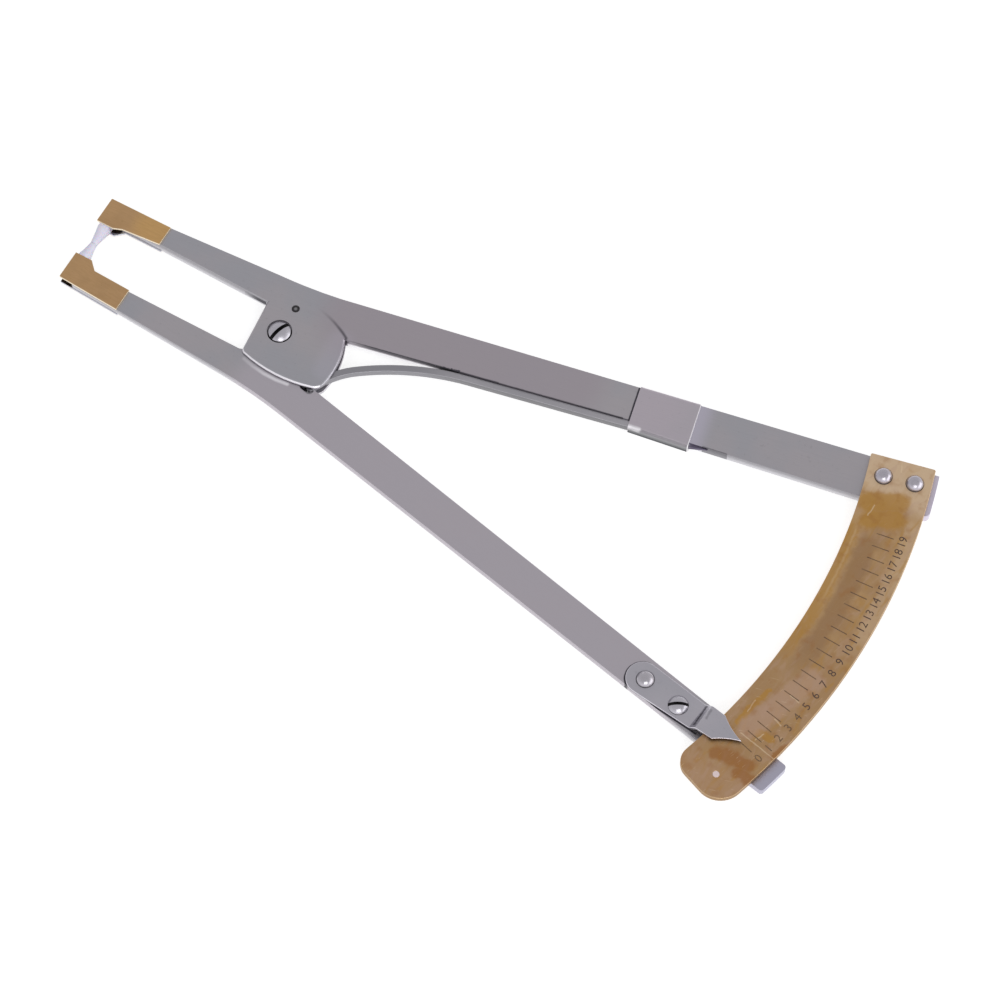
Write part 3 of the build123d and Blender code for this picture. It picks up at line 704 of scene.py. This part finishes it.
shape = bmesh.new()
rings = []
for middle, heading, thick, tall in spring_route():
    outwards = step_to(heading + pi / 2)
    half = thick / 2
    corner = min(spring_corner, thick / 4)
    foot = spring_height - tall
    outline = []
    for across, up in (
        (-half, foot + corner),
        (-half + corner, foot),
        (half - corner, foot),
        (half, foot + corner),
        (half, spring_height - corner),
        (half - corner, spring_height),
        (-half + corner, spring_height),
        (-half, spring_height - corner),
    ):
        outline.append(shape.verts.new((*(middle + outwards * across), spring_low + up)))
    rings.append(outline)
for first, second in zip(rings, rings[1:]):
    for corner in range(len(first)):
        after = (corner + 1) % len(first)
        shape.faces.new((first[corner], first[after], second[after], second[corner]))
shape.faces.new(rings[0])
shape.faces.new(rings[-1])
spring_mesh = smoothed(shape, bpy.data.meshes.new("spring_strip"), radians(30))


def spring_marks(tree, place, colour):
    """A darker bow, painted shade on the tip in the notch, and on the tail right of the clip."""
    along = axis_part(tree, place, "X")
    colour = laid(tree, colour, bow_tone, ramped(tree, along, 42 * mm, 28 * mm, 0.0, 0.8))
    # Painted shade on the tip, where it sits in the notch.
    colour = laid(tree, colour, grime_and_shade_tone, near_line(tree, place, *spring_tip, 0.6, 1.4), 0.75)
    # Painted shade on the tail right of the clip.
    return laid(tree, colour, tail_shade_tone, ramped(tree, along, 86.5 * mm, 88.5 * mm, 0.0, 0.85))


spring_steel = ground_steel(
    "spring steel", spring_slope_angle, spring_tones, satin, 1.15, spring_marks, spring_side_shading
)
spring_mesh.materials.append(spring_steel)
spring_strip = in_scene("spring_strip", spring_mesh)
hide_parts("leaf_spring")
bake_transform(spring_strip)

# Spring clip. A sleeve folded from thin sheet round the scale lever and the spring's tail, pinched
# tight with pliers. Its folds are rounded; painted shade lies on its sides and lower fold, and painted
# highlights at the fold's left and on the right cut end.
clip_slope = 12.0
clip_tones = ((0.55, 0.50, 0.55, 1), (0.51, 0.48, 0.52, 1))
# Painted shade: dark tones for the sleeve's sides, darker low down.
clip_side_shading = ((0.05, 0.055, 0.06, 1), (0.30, 0.295, 0.31, 1))
clip_highlight_streak = ((74.6, 17.05), (77.0, 17.45))
clip_lower_fold = ((76.5, 17.35), (87.4, 19.0))
shaded_fold_tone = (0.27, 0.255, 0.275, 1)
clip_highlight_tone = (0.95, 0.93, 0.96, 1)


def clip_marks(tree, place, colour):
    """Painted shade on the lower fold, a painted highlight at its left, and a painted highlight on the
    right cut end.
    """
    height = axis_part(tree, place, "Z")
    dull = near_line(tree, place, *clip_lower_fold, 0.9, 1.6)
    # Painted shade on the lower fold.
    colour = laid(tree, colour, shaded_fold_tone, dull, rounded(tree), 0.9)
    streak = near_line(tree, shaken(tree, place, 1.5, 0.3), *clip_highlight_streak, 0.1, 0.6)
    # A painted highlight at the left of the lower fold.
    colour = laid(tree, colour, clip_highlight_tone, streak, ramped(tree, height, 2.2 * mm, 2.7 * mm), 0.75)
    # A painted highlight on the right cut end.
    return laid(tree, colour, clip_highlight_tone, near_line(tree, place, *clip_right_end, 0.1, 0.26))


clip_steel = ground_steel("clip steel", clip_slope, clip_tones, satin, 1.1, clip_marks, clip_side_shading)
clip = dressed("spring_clip", "clip_sleeve", 0.09 * mm, clip_steel)
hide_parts("spring_clip")
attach(clip, "scale_side")

# Jaw cheeks. Four pieces of brass sheet, soft-soldered on both faces of the levers' front ends. They
# are rubbed to a warm satin, with brownish clouds, and their edges carry a painted reflection, pale gold on
# the upper ones and bluish grey on the lower.
cheek_tone = (0.60, 0.375, 0.19, 1)
cheek_gold = (0.70, 0.43, 0.17, 1)
cheek_brown = (0.44, 0.265, 0.115, 1)
# Painted reflections of the table on the cheeks' edges: warm on the upper ones, bluish grey on the lower.
brass_edge_reflection = (0.88, 0.75, 0.56, 1)
lower_edge_reflection = (0.68, 0.69, 0.75, 1)
pocket_shade = (0.03, 0.02, 0.015, 1)


def sheet_brass(name, slope, golden_end, inside, pocket, edge):
    """Rubbed brass sheet with clouds of tarnish, golden at one end if that is given, a painted reflection
    on its edges, and painted shade in the jaw's pocket, on its inner side, which is 1 for the upper side
    and -1 for the lower."""
    material, tree, shader = new_material(name, {"Metallic": 1.0})
    place = object_place(tree)
    finish = grinding_marks(tree, place, slope, line_width=0.2, line_length=2.5)
    marks = handling_marks(tree, place, cloud_size=6, speck_size=0.8)
    rim = rim_mask(tree)
    colour = laid(tree, cheek_tone, toned(cheek_tone, 0.9), marks["Clouds"])
    if golden_end:
        golden = near_line(tree, shaken(tree, place, 3, 1.5), *golden_end, 2.0, 6.0)
        colour = laid(tree, colour, cheek_gold, golden, 0.8)
    colour = laid(tree, colour, cheek_brown, marks["Specks"], 0.35)
    colour = laid(tree, colour, cheek_brown, ramped(tree, finish["Grain"], 0.3, 0.7, 0.0, 0.22))
    hidden = ramped(tree, product(tree, facing_up(tree), inside), 0.6, 0.9)
    # Painted shade in the jaw's pocket, on the inner faces that otherwise take the painted edge reflection.
    dirty = laid(tree, edge, pocket_shade, near_line(tree, place, *pocket, 0.5, 1.1))
    colour = laid(tree, edge, laid(tree, colour, dirty, hidden), upward(tree))
    colour = laid(tree, colour, edge, rim)
    dull = smoother_rim(tree, ramped(tree, finish["Grain"], 0.25, 0.75, 0.34, 0.46), rim)
    surfaced(tree, shader, colour, dull, (0.3, 0.008 * mm, finish["Grain"]))
    return material


for side, slope, golden_end, pocket in (
    ("scale", 3.0, ((-36.0, 7.5), (-34.0, 7.0)), ((-44.3, 4.6), (-43.4, 5.1))),
    ("pointer", -3.0, None, ((-47.3, -11.4), (-45.8, -11.4))),
):
    for level, inside, edge in (("top", -1.0, brass_edge_reflection), ("bottom", 1.0, lower_edge_reflection)):
        brass_name = f"{side} {level} cheek brass"
        brass = sheet_brass(brass_name, slope, golden_end, inside, pocket, edge)
        plate = dressed(f"{side}_jaw_{level}_cheek", f"{side}_{level}_plate", 0.07 * mm, brass)
        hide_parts(f"{side}_jaw_{level}_cheek")
        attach(plate, f"{side}_side")

# Nylon tips. Each is a cone turned on a square root that is gripped between two cheeks. They touch
# the lens, so they are soft, white and slightly see-through at their thin ends.
nylon_tones = ((0.79, 0.77, 0.90, 1), (0.75, 0.73, 0.86, 1))
nylon, tree, shader = new_material(
    "white nylon", {"Roughness": 0.5, "Subsurface Weight": 0.2, "Subsurface Scale": 0.6 * mm}
)
place = object_place(tree)
rings_of_turning = node(tree, "ShaderNodeMapping", {"Vector": place, "Scale": (300, 7000, 300)})[0]
milky = laid(tree, *nylon_tones, ramped(tree, noise(tree, place, 500.0, 3.0), 0.35, 0.65))
surfaced(tree, shader, milky, relief=(0.1, 0.01 * mm, noise(tree, rings_of_turning, 1.0, 2.0)))
for side in ("scale", "pointer"):
    tip = dressed(f"{side}_jaw_tip", f"{side}_nylon_tip", 0.06 * mm, nylon)
    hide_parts(f"{side}_jaw_tip")
    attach(tip, f"{side}_side")

# Graduations and numerals of the arc. They are cut into the brass with a fine engraver, one line to
# the millimetre of opening, and were filled with black, most of which has been rubbed away.
zero_angle = radians(-15.04)
line_step = radians(1.25)
line_count = 20
line_inner = 132.8 * mm
line_outer = 136.5 * mm
line_width = 0.2 * mm
cut_depth = 0.12 * mm
numeral_radius = 138.45 * mm
numeral_height = 1.75 * mm
capital_share = 0.7
numeral_band_radius = 138.5
filling_tones = ((0.29, 0.19, 0.11, 1), (0.135, 0.095, 0.08, 1))
arc_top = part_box("scale_plate")[1].z
ruling_measures = {
    "First Angle": zero_angle,
    "Step Angle": line_step,
    "Inner Radius": line_inner,
    "Outer Radius": line_outer,
    "Width": line_width,
    "Depth": cut_depth,
    "Top": arc_top,
}


def geometry_group(name, inputs):
    """An empty geometry node tree with named inputs and one mesh going in and out."""
    tree = bpy.data.node_groups.new(name, "GeometryNodeTree")
    tree.interface.new_socket("Geometry", in_out="INPUT", socket_type="NodeSocketGeometry")
    for label, kind in inputs.items():
        tree.interface.new_socket(label, in_out="INPUT", socket_type="NodeSocket" + kind)
    tree.interface.new_socket("Geometry", in_out="OUTPUT", socket_type="NodeSocketGeometry")
    return tree, tree.nodes.new("NodeGroupInput").outputs, tree.nodes.new("NodeGroupOutput").inputs


def turned_out(tree, radius, angle, height):
    """The place at a radius, an angle and a height."""
    x = product(tree, radius, combined(tree, "COSINE", angle))
    y = product(tree, radius, combined(tree, "SINE", angle))
    return node(tree, "ShaderNodeCombineXYZ", {0: x, 1: y, 2: height})[0]


def repeated(tree, points, thing, rotation, material, made):
    """Ends the tree with the thing on every point, as real mesh with its material."""
    values = {"Points": points, "Instance": thing, "Rotation": rotation}
    copies = node(tree, "GeometryNodeInstanceOnPoints", values)[0]
    whole = node(tree, "GeometryNodeRealizeInstances", {0: copies})[0]
    coloured = node(tree, "GeometryNodeSetMaterial", {"Geometry": whole, "Material": material})[0]
    tree.links.new(coloured, made[0])


def grown(piece, tree, values):
    """The piece's mesh as the tree makes it from these values, as one plain mesh."""
    modifier = piece.modifiers.new(tree.name, "NODES")
    modifier.node_group = tree
    for item in tree.interface.items_tree:
        if item.item_type == "SOCKET" and item.in_out == "INPUT" and item.name in values:
            modifier[item.identifier] = values[item.name]
    return worked_in(piece)


ruling, given, made = geometry_group(
    "graduations", {"Count": "Int", **dict.fromkeys(ruling_measures, "Float"), "Material": "Material"}
)
order = node(ruling, "GeometryNodeInputIndex")[0]
angle = combined(ruling, "ADD", given["First Angle"], product(ruling, order, given["Step Angle"]))
radius = product(ruling, combined(ruling, "ADD", given["Inner Radius"], given["Outer Radius"]), 0.5)
points = node(ruling, "GeometryNodeMeshLine", {"Count": given["Count"]})[0]
where = turned_out(ruling, radius, angle, given["Top"])
placed = node(ruling, "GeometryNodeSetPosition", {"Geometry": points, "Position": where})[0]
length = combined(ruling, "SUBTRACT", given["Outer Radius"], given["Inner Radius"])
sizes = {0: length, 1: given["Width"], 2: product(ruling, given["Depth"], 2.0)}
size = node(ruling, "ShaderNodeCombineXYZ", sizes)[0]
line = node(ruling, "GeometryNodeMeshCube", {"Size": size})[0]
turn = node(ruling, "ShaderNodeCombineXYZ", {2: angle})[0]
repeated(ruling, placed, line, turn, given["Material"], made)

filling, tree, shader = new_material("rubbed black filling", {"Roughness": 0.8, "Specular IOR Level": 0.15})
place = object_place(tree)
patchy = ramped(tree, noise(tree, place, 420.0, 3.0), 0.3, 0.62, 0.0, 0.6)
at_numerals = near_circle(tree, place, (0, 0), numeral_band_radius, 1.2, 1.6)
kept = combined(tree, "ADD", patchy, product(tree, at_numerals, 0.4))
wiped = ramped(tree, axis_part(tree, place, "Y"), -31 * mm, -17 * mm, 0.2, 1.0)
surfaced(tree, shader, laid(tree, *filling_tones, kept, wiped))

cutter = grown(
    in_scene("engraving", bpy.data.meshes.new("engraving")),
    ruling,
    {"Count": line_count, **ruling_measures, "Material": filling},
)
engraved = bmesh.new()
engraved.from_mesh(cutter.data)
for number in range(line_count):
    text = bpy.data.curves.new(f"numeral_{number}", "FONT")
    text.body = str(number)
    text.size = numeral_height / capital_share
    text.align_x = "CENTER"
    text.align_y = "CENTER"
    text.extrude = cut_depth
    text.resolution_u = 3
    text.space_character = 1.02
    written = in_scene(f"numeral_{number}", text)
    bpy.context.view_layer.update()
    letters = bpy.data.meshes.new_from_object(written)
    bpy.data.objects.remove(written)
    angle = zero_angle + number * line_step
    turned = Matrix.Rotation(angle + pi / 2, 4, "Z")
    letters.transform(Matrix.Translation((*step_to(angle, numeral_radius), arc_top)) @ turned)
    engraved.from_mesh(letters)
bmesh.ops.remove_doubles(engraved, verts=engraved.verts, dist=weld_distance)
bmesh.ops.recalc_face_normals(engraved, faces=engraved.faces)
for face in engraved.faces:
    face.material_index = cutter.data.materials.find(filling.name)
engraved.to_mesh(cutter.data)
engraved.free()

# Brass arc. A plate of rolled brass, sawn to an arc about the pivot and riveted on the scale lever.
# Its face is tanned and stained, rubbed grey where the pointer and fingers pass, with scratches.
arc_tone = (0.60, 0.385, 0.19, 1)
arc_pale = (0.80, 0.61, 0.42, 1)
arc_tan = (0.545, 0.34, 0.195, 1)
arc_worn = (0.49, 0.305, 0.155, 1)
arc_gold = (0.54, 0.29, 0.072, 1)
arc_rubbed = (0.40, 0.24, 0.125, 1)
arc_pinkish = (0.60, 0.405, 0.30, 1)
arc_orange = (0.41, 0.18, 0.06, 1)
arc_scratch = (0.88, 0.70, 0.47, 1)
arc_rim_highlight = (0.80, 0.60, 0.36, 1)
arc_side_shade = (0.36, 0.22, 0.10, 1)
outer_margin_radius = 139.6
inner_margin_radius = 127.8
margin_line_radius = 128.5
rubbed_band_radius = 132

# Stains along short lines, each with its width, and the deeper scratches, in millimetres
golden_patches = (
    ((126.2, -31.3), (128.5, -21.7), 0.6),
    ((131.5, -30.8), (134.0, -30.8), 0.8),
    ((126.9, 25.7), (132.0, 28.5), 2.6),
    ((128.8, 22.4), (133.4, 24.9), 2.6),
)
orange_patches = (
    ((125.8, -39.0), (132.3, -38.5), 1.8),
    ((131.7, -41.0), (134.3, -40.9), 1.5),
    ((136.0, -33.9), (139.0, -29.0), 0.9),
)
rubbed_patches = (((129.0, -31.1), (132.1, -22.2), 2.7), ((132.1, -22.2), (135.0, -15.5), 2.7))
scratch_lines = (
    ((128.0, -32.8), (136.3, -34.5)),
    ((132.5, -26.7), (134.2, -27.5)),
    ((132.9, -20.7), (135.1, -21.2)),
    ((131.2, -32.8), (132.1, -30.8)),
    ((127.0, -28.0), (127.1, -25.1)),
    ((127.9, 25.6), (127.8, 22.9)),
    ((128.5, 36.9), (129.3, 35.1)),
)
arc_brass, tree, shader = new_material("arc brass", {"Metallic": 1.0})
place = object_place(tree)
loose = shaken(tree, shaken(tree, place, 3.5, 2.4), 1.1, 1.0)
frayed = shaken(tree, place, 1.2, 0.5)
height = axis_part(tree, loose, "Y")


def patches(spots):
    stains = [near_line(tree, loose, start, end, 0.55 * wide, 1.2 * wide) for start, end, wide in spots]
    return strongest(tree, *stains)


def between(low_start, low_full, high_full, high_start):
    """1 between two heights on the arc, in millimetres from the middle."""
    rising = ramped(tree, height, low_start * mm, low_full * mm)
    return product(tree, rising, ramped(tree, height, high_start * mm, high_full * mm))


def about_pivot(spot, radius, full, none, *heights):
    """1 beside a circle about the pivot, between these heights."""
    return product(tree, near_circle(tree, spot, (0, 0), radius, full, none), between(*heights))


clouds = noise(tree, place, 110.0, 5.0)
mottled = noise(tree, place, 420.0, 4.0)
fine = drawn_out_noise(tree, place, 1.25, (3.1, 0.2, 2), 2.0, 0.0)
crossed = drawn_out_noise(tree, place, 0.25, (3.8, 0.23, 2), 2.0, 0.0)
brushed = drawn_out_noise(tree, place, 1.5, (6.0, 1.7, 2), 2.0, 0.8)
below_rivets = ramped(tree, height, 30 * mm, 26 * mm, 0.3, 1.0)
deep = strongest(tree, *[near_line(tree, frayed, start, end, 0.06, 0.2) for start, end in scratch_lines])
hair = strongest(tree, ramped(tree, fine, 0.68, 0.74), ramped(tree, crossed, 0.70, 0.75))
scratches = strongest(
    tree,
    product(tree, hair, ramped(tree, height, -14 * mm, -24 * mm, 0.14, 0.5)),
    product(tree, deep, 0.5),
    product(tree, about_pivot(frayed, margin_line_radius, 0.05, 0.4, -2, 6, 18, 21), 0.2),
)
colour = layered(
    tree,
    arc_tone,
    (arc_rubbed, ramped(tree, clouds, 0.35, 0.65, 0.0, 0.6)),
    (arc_worn, ramped(tree, height, 4 * mm, -14 * mm, 0.0, 0.8)),
    (arc_pale, ramped(tree, height, 26 * mm, 30 * mm, 0.0, 0.8)),
    (arc_pale, about_pivot(loose, outer_margin_radius, 1.0, 2.4, -10, 0, 25, 28), 0.35),
    (arc_tan, ramped(tree, height, -39.5 * mm, -42.5 * mm, 0.0, 0.8)),
    (arc_gold, about_pivot(loose, inner_margin_radius, 0.9, 1.9, -16, -8, 17, 23), 0.6),
    (arc_gold, ramped(tree, brushed, 0.52, 0.68, 0.0, 0.45), below_rivets),
    (arc_pinkish, ramped(tree, brushed, 0.48, 0.32, 0.0, 0.3)),
    (arc_gold, patches(golden_patches), 0.8),
    (arc_orange, patches(orange_patches), 0.75),
    (arc_pinkish, patches(rubbed_patches), 0.6),
    (arc_rubbed, about_pivot(loose, rubbed_band_radius, 1.2, 3.0, -20, -8, 17, 21), 0.8),
    (arc_scratch, scratches),
    (arc_orange, ramped(tree, mottled, 0.5, 0.72, 0.0, 0.35)),
)
# Painted shade on the upright sides, and a painted highlight on the broken edges.
colour = laid(tree, arc_side_shade, colour, upward(tree))
rim = rim_mask(tree)
colour = laid(tree, colour, arc_rim_highlight, rim, 0.4)
dull = smoother_rim(tree, ramped(tree, clouds, 0.3, 0.7, 0.38, 0.48), rim)
surfaced(tree, shader, colour, dull, (0.2, 0.008 * mm, fine))

arc = dressed("scale_plate", "graduated_arc", 0.16 * mm, arc_brass, cutter)
bpy.data.objects.remove(cutter)
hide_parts("scale_plate")
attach(arc, "scale_side")

# Rivets. Polished round heads, two on the arc and one that the pointer turns on. Each is one turned
# piece: a dome above, a shank through the sheet, and a tail hammered flat below.
rivet_turns = 48
dome_steps = 10
tail_round = 0.3 * mm
arc_rivet_angle = radians(14.4)
arc_rivet_radii = (130.55 * mm, 137.2 * mm)
arc_rivet_tone = (0.50, 0.475, 0.53, 1)
pointer_rivet_tone = (0.50, 0.48, 0.52, 1)

turning, given, made = geometry_group(
    "turned pieces in a row",
    {"Turns": "Int", "Count": "Int", "First": "Vector", "Step": "Vector", "Material": "Material"},
)
profile = given["Geometry"]
profile_size = node(turning, "GeometryNodeAttributeDomainSize", {0: profile}, component="MESH")[0]
sides = combined(turning, "ADD", given["Turns"], 1.0)
counts = {"Size X": 1.0, "Size Y": 1.0, "Vertices X": profile_size, "Vertices Y": sides}
grid = node(turning, "GeometryNodeMeshGrid", counts)[0]
order = node(turning, "GeometryNodeInputIndex")[0]
row = combined(turning, "FLOOR", combined(turning, "DIVIDE", combined(turning, "ADD", order, 0.5), sides))
column = combined(turning, "SUBTRACT", order, product(turning, row, sides))
turn = combined(turning, "DIVIDE", product(turning, column, 2 * pi), given["Turns"])
spot = {0: profile, "Value": node(turning, "GeometryNodeInputPosition")[0], "Index": row}
sample = node(turning, "GeometryNodeSampleIndex", spot, data_type="FLOAT_VECTOR", domain="POINT")
outline = node(turning, "ShaderNodeSeparateXYZ", {0: sample[0]})
swept = turned_out(turning, outline["X"], turn, outline["Z"])
skin = node(turning, "GeometryNodeSetPosition", {"Geometry": grid, "Position": swept})[0]
seam = {"Geometry": skin, "Distance": weld_distance}
closed = node(turning, "GeometryNodeMergeByDistance", seam)[0]
starts = {"Count": given["Count"], "Start Location": given["First"], "Offset": given["Step"]}
spots = node(turning, "GeometryNodeMeshLine", starts)[0]
repeated(turning, spots, closed, (0, 0, 0), given["Material"], made)


def rivet_row(name, places, material, head, dome, seat, shank, tail, lever_bottom):
    """Rivets of one size at these places, each turned from the outline of half its section."""
    ball = (head ** 2 + dome ** 2) / (2 * dome)
    reach = asin(head / ball) if dome < ball else pi - asin(head / ball)
    outline = []
    for step in range(dome_steps + 1):
        angle = reach * step / dome_steps
        outline.append((ball * sin(angle), seat + dome - ball + ball * cos(angle)))
    outline += [(shank, seat), (shank, lever_bottom), (tail, lever_bottom), (tail, tail_round)]
    outline += [(tail - 0.3 * tail_round, 0.3 * tail_round), (tail - tail_round, 0), (0, 0)]
    mesh = bpy.data.meshes.new(name)
    mesh.from_pydata([(across, 0, up) for across, up in outline], [], [])
    first = Vector((*places[0], 0))
    step = Vector((*places[-1], 0)) - first
    row = {"Count": len(places), "First": first, "Step": step}
    piece = grown(in_scene(name, mesh), turning, {"Turns": rivet_turns, **row, "Material": material})
    shape = bmesh.new()
    shape.from_mesh(piece.data)
    smoothed(shape, piece.data, corner_angle)
    return piece


arc_rivets = rivet_row(
    "rivets_of_the_arc",
    [step_to(arc_rivet_angle, radius) for radius in arc_rivet_radii],
    polished_steel("arc rivet steel", arc_rivet_tone, roughness=0.2, seat=arc_top, dark_reach=0.7 * mm),
    head=1.95 * mm,
    dome=1.5 * mm,
    seat=arc_top,
    shank=1.1 * mm,
    tail=1.7 * mm,
    lever_bottom=0.8 * mm,
)
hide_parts("scale_rivets")
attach(arc_rivets, "scale_side")

low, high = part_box("pointer_rivet")
pointer_dome = 1.25 * mm
blade_top = high.z - pointer_dome
pointer_rivet = rivet_row(
    "rivet_of_the_pointer",
    [((low + high) / 2).to_2d()],
    polished_steel("pointer rivet steel", pointer_rivet_tone, roughness=0.2, seat=blade_top, dark_reach=0.5 * mm),
    head=1.95 * mm,
    dome=pointer_dome,
    seat=blade_top,
    shank=1.0 * mm,
    tail=1.5 * mm,
    lever_bottom=0.85 * mm,
)
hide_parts("pointer_rivet")
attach(pointer_rivet, "pointer_side")

# Pointer. A blade of spring sheet, pressed up in a sharp step so that its point passes over the
# arc. Painted shade lies in the crease and below the point, and its broken edges carry a painted highlight.
blade_slope = -2.0
blade_tones = ((0.525, 0.505, 0.55, 1), (0.475, 0.465, 0.51, 1))
crease_lines = (((13.5, 2.3), (13.9, -2.4), 0.85), ((15.0, 1.8), (15.3, -0.2), 0.35))
tip_lower_edge = ((18.8, -3.0), (23.9, 0.0))


def pointer_marks(tree, place, colour):
    """Painted shade and tool marks in the crease of the step, and painted shade below the point, where it
    meets the arc.
    """
    start, end = tip_lower_edge
    # Painted shade on the lower faces below the point, where it meets the arc.
    below = near_line(tree, place, on_the_pointer(*start), on_the_pointer(*end), 0.6, 1.3)
    colour = laid(tree, colour, grime_and_shade_tone, below, ramped(tree, facing_up(tree), 0.3, 0.1))
    loose = shaken(tree, place, 0.5, 0.75)
    # Painted shade along the crease of the step.
    for start, end, share in crease_lines:
        stroke = near_line(tree, loose, on_the_pointer(*start), on_the_pointer(*end), 0.08, 0.38)
        colour = laid(tree, colour, grime_and_shade_tone, stroke, share)
    return colour


pointer_steel = ground_steel("pointer steel", blade_slope, blade_tones, 0.34, 1.6, pointer_marks)
blade = dressed("pointer", "pointer_blade_sheet", 0.1 * mm, pointer_steel)
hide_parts("pointer")
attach(blade, "pointer_blade")

# Table, lamps and camera. A white table in a plain room with bright walls and a darker ceiling, and
# two soft lamps, a wide low one on the right and one in front, seen at the angle of the photograph.
table_reach = 6
table_glow = 0.72
caliper_middle = Vector((0.06, 0, 0))
wall_strengths = (0.7, 1.05)
ceiling_strength = 0.635
camera_at = (0.2428582, -0.3319247, 0.7706495)
camera_aim = Vector((0.0598494, -0.0110761, 0.00315))

table = in_scene("table", bpy.data.meshes.new("table"))
corners = [(-1, -1), (1, -1), (1, 1), (-1, 1)]
table.data.from_pydata([(x * table_reach, y * table_reach, 0) for x, y in corners], [], [(0, 1, 2, 3)])
table.data.transform(Matrix.Translation(caliper_middle - Vector((0, 0, 0.0001))))
white, tree, shader = new_material(
    "white table",
    {
        "Base Color": (0.50, 0.50, 0.50, 1),
        "Roughness": 0.9,
        "Specular IOR Level": 0.1,
        "Emission Color": (1, 1, 1, 1),
    },
)
ray = node(tree, "ShaderNodeLightPath")
seen = strongest(tree, ray["Is Camera Ray"], ray["Is Glossy Ray"], ray["Is Transmission Ray"])
tree.links.new(product(tree, seen, table_glow), shader["Emission Strength"])
table.data.materials.append(white)

world = bpy.data.worlds.new("plain room")
bpy.context.scene.world = world
world.use_nodes = True
tree = world.node_tree
room = tree.nodes["Background"].inputs
room["Color"].default_value = (0.99, 0.985, 1.0, 1)
looking = node(tree, "ShaderNodeTexCoord")["Generated"]
towards_window = vectors(tree, "DOT_PRODUCT", looking, (0.8, -0.6, 0), "Value")
walls = ramped(tree, towards_window, -0.6, 0.6, *wall_strengths)
overhead = axis_part(tree, looking, "Z")
tree.links.new(ramped(tree, overhead, 0.3, 0.8, walls, ceiling_strength), room["Strength"])


def aimed(holder, place, aim):
    holder.location = place
    holder.rotation_euler = (aim - holder.location).to_track_quat("-Z", "Y").to_euler()


for name, towards, distance, width, height, power in (
    ("wide lamp on the right", (0.90, 0.20, 0.28), 1.1, 1.2, 0.6, 2.2),
    ("lamp in front on the right", (0.45, -0.60, 0.66), 1.2, 0.7, 0.5, 2.5),
):
    lamp = bpy.data.lights.new(name, "AREA")
    lamp.shape = "RECTANGLE"
    lamp.size = width
    lamp.size_y = height
    lamp.energy = power
    aimed(in_scene(name, lamp), caliper_middle + Vector(towards).normalized() * distance, caliper_middle)

view = bpy.data.cameras.new("camera")
view.sensor_fit = "HORIZONTAL"
view.sensor_width = 36.0
view.lens = 148.212
view.clip_start = 0.01
camera = in_scene("camera", view)
aimed(camera, camera_at, camera_aim)
bpy.context.scene.camera = camera
bpy.context.scene.view_settings.view_transform = "Standard"
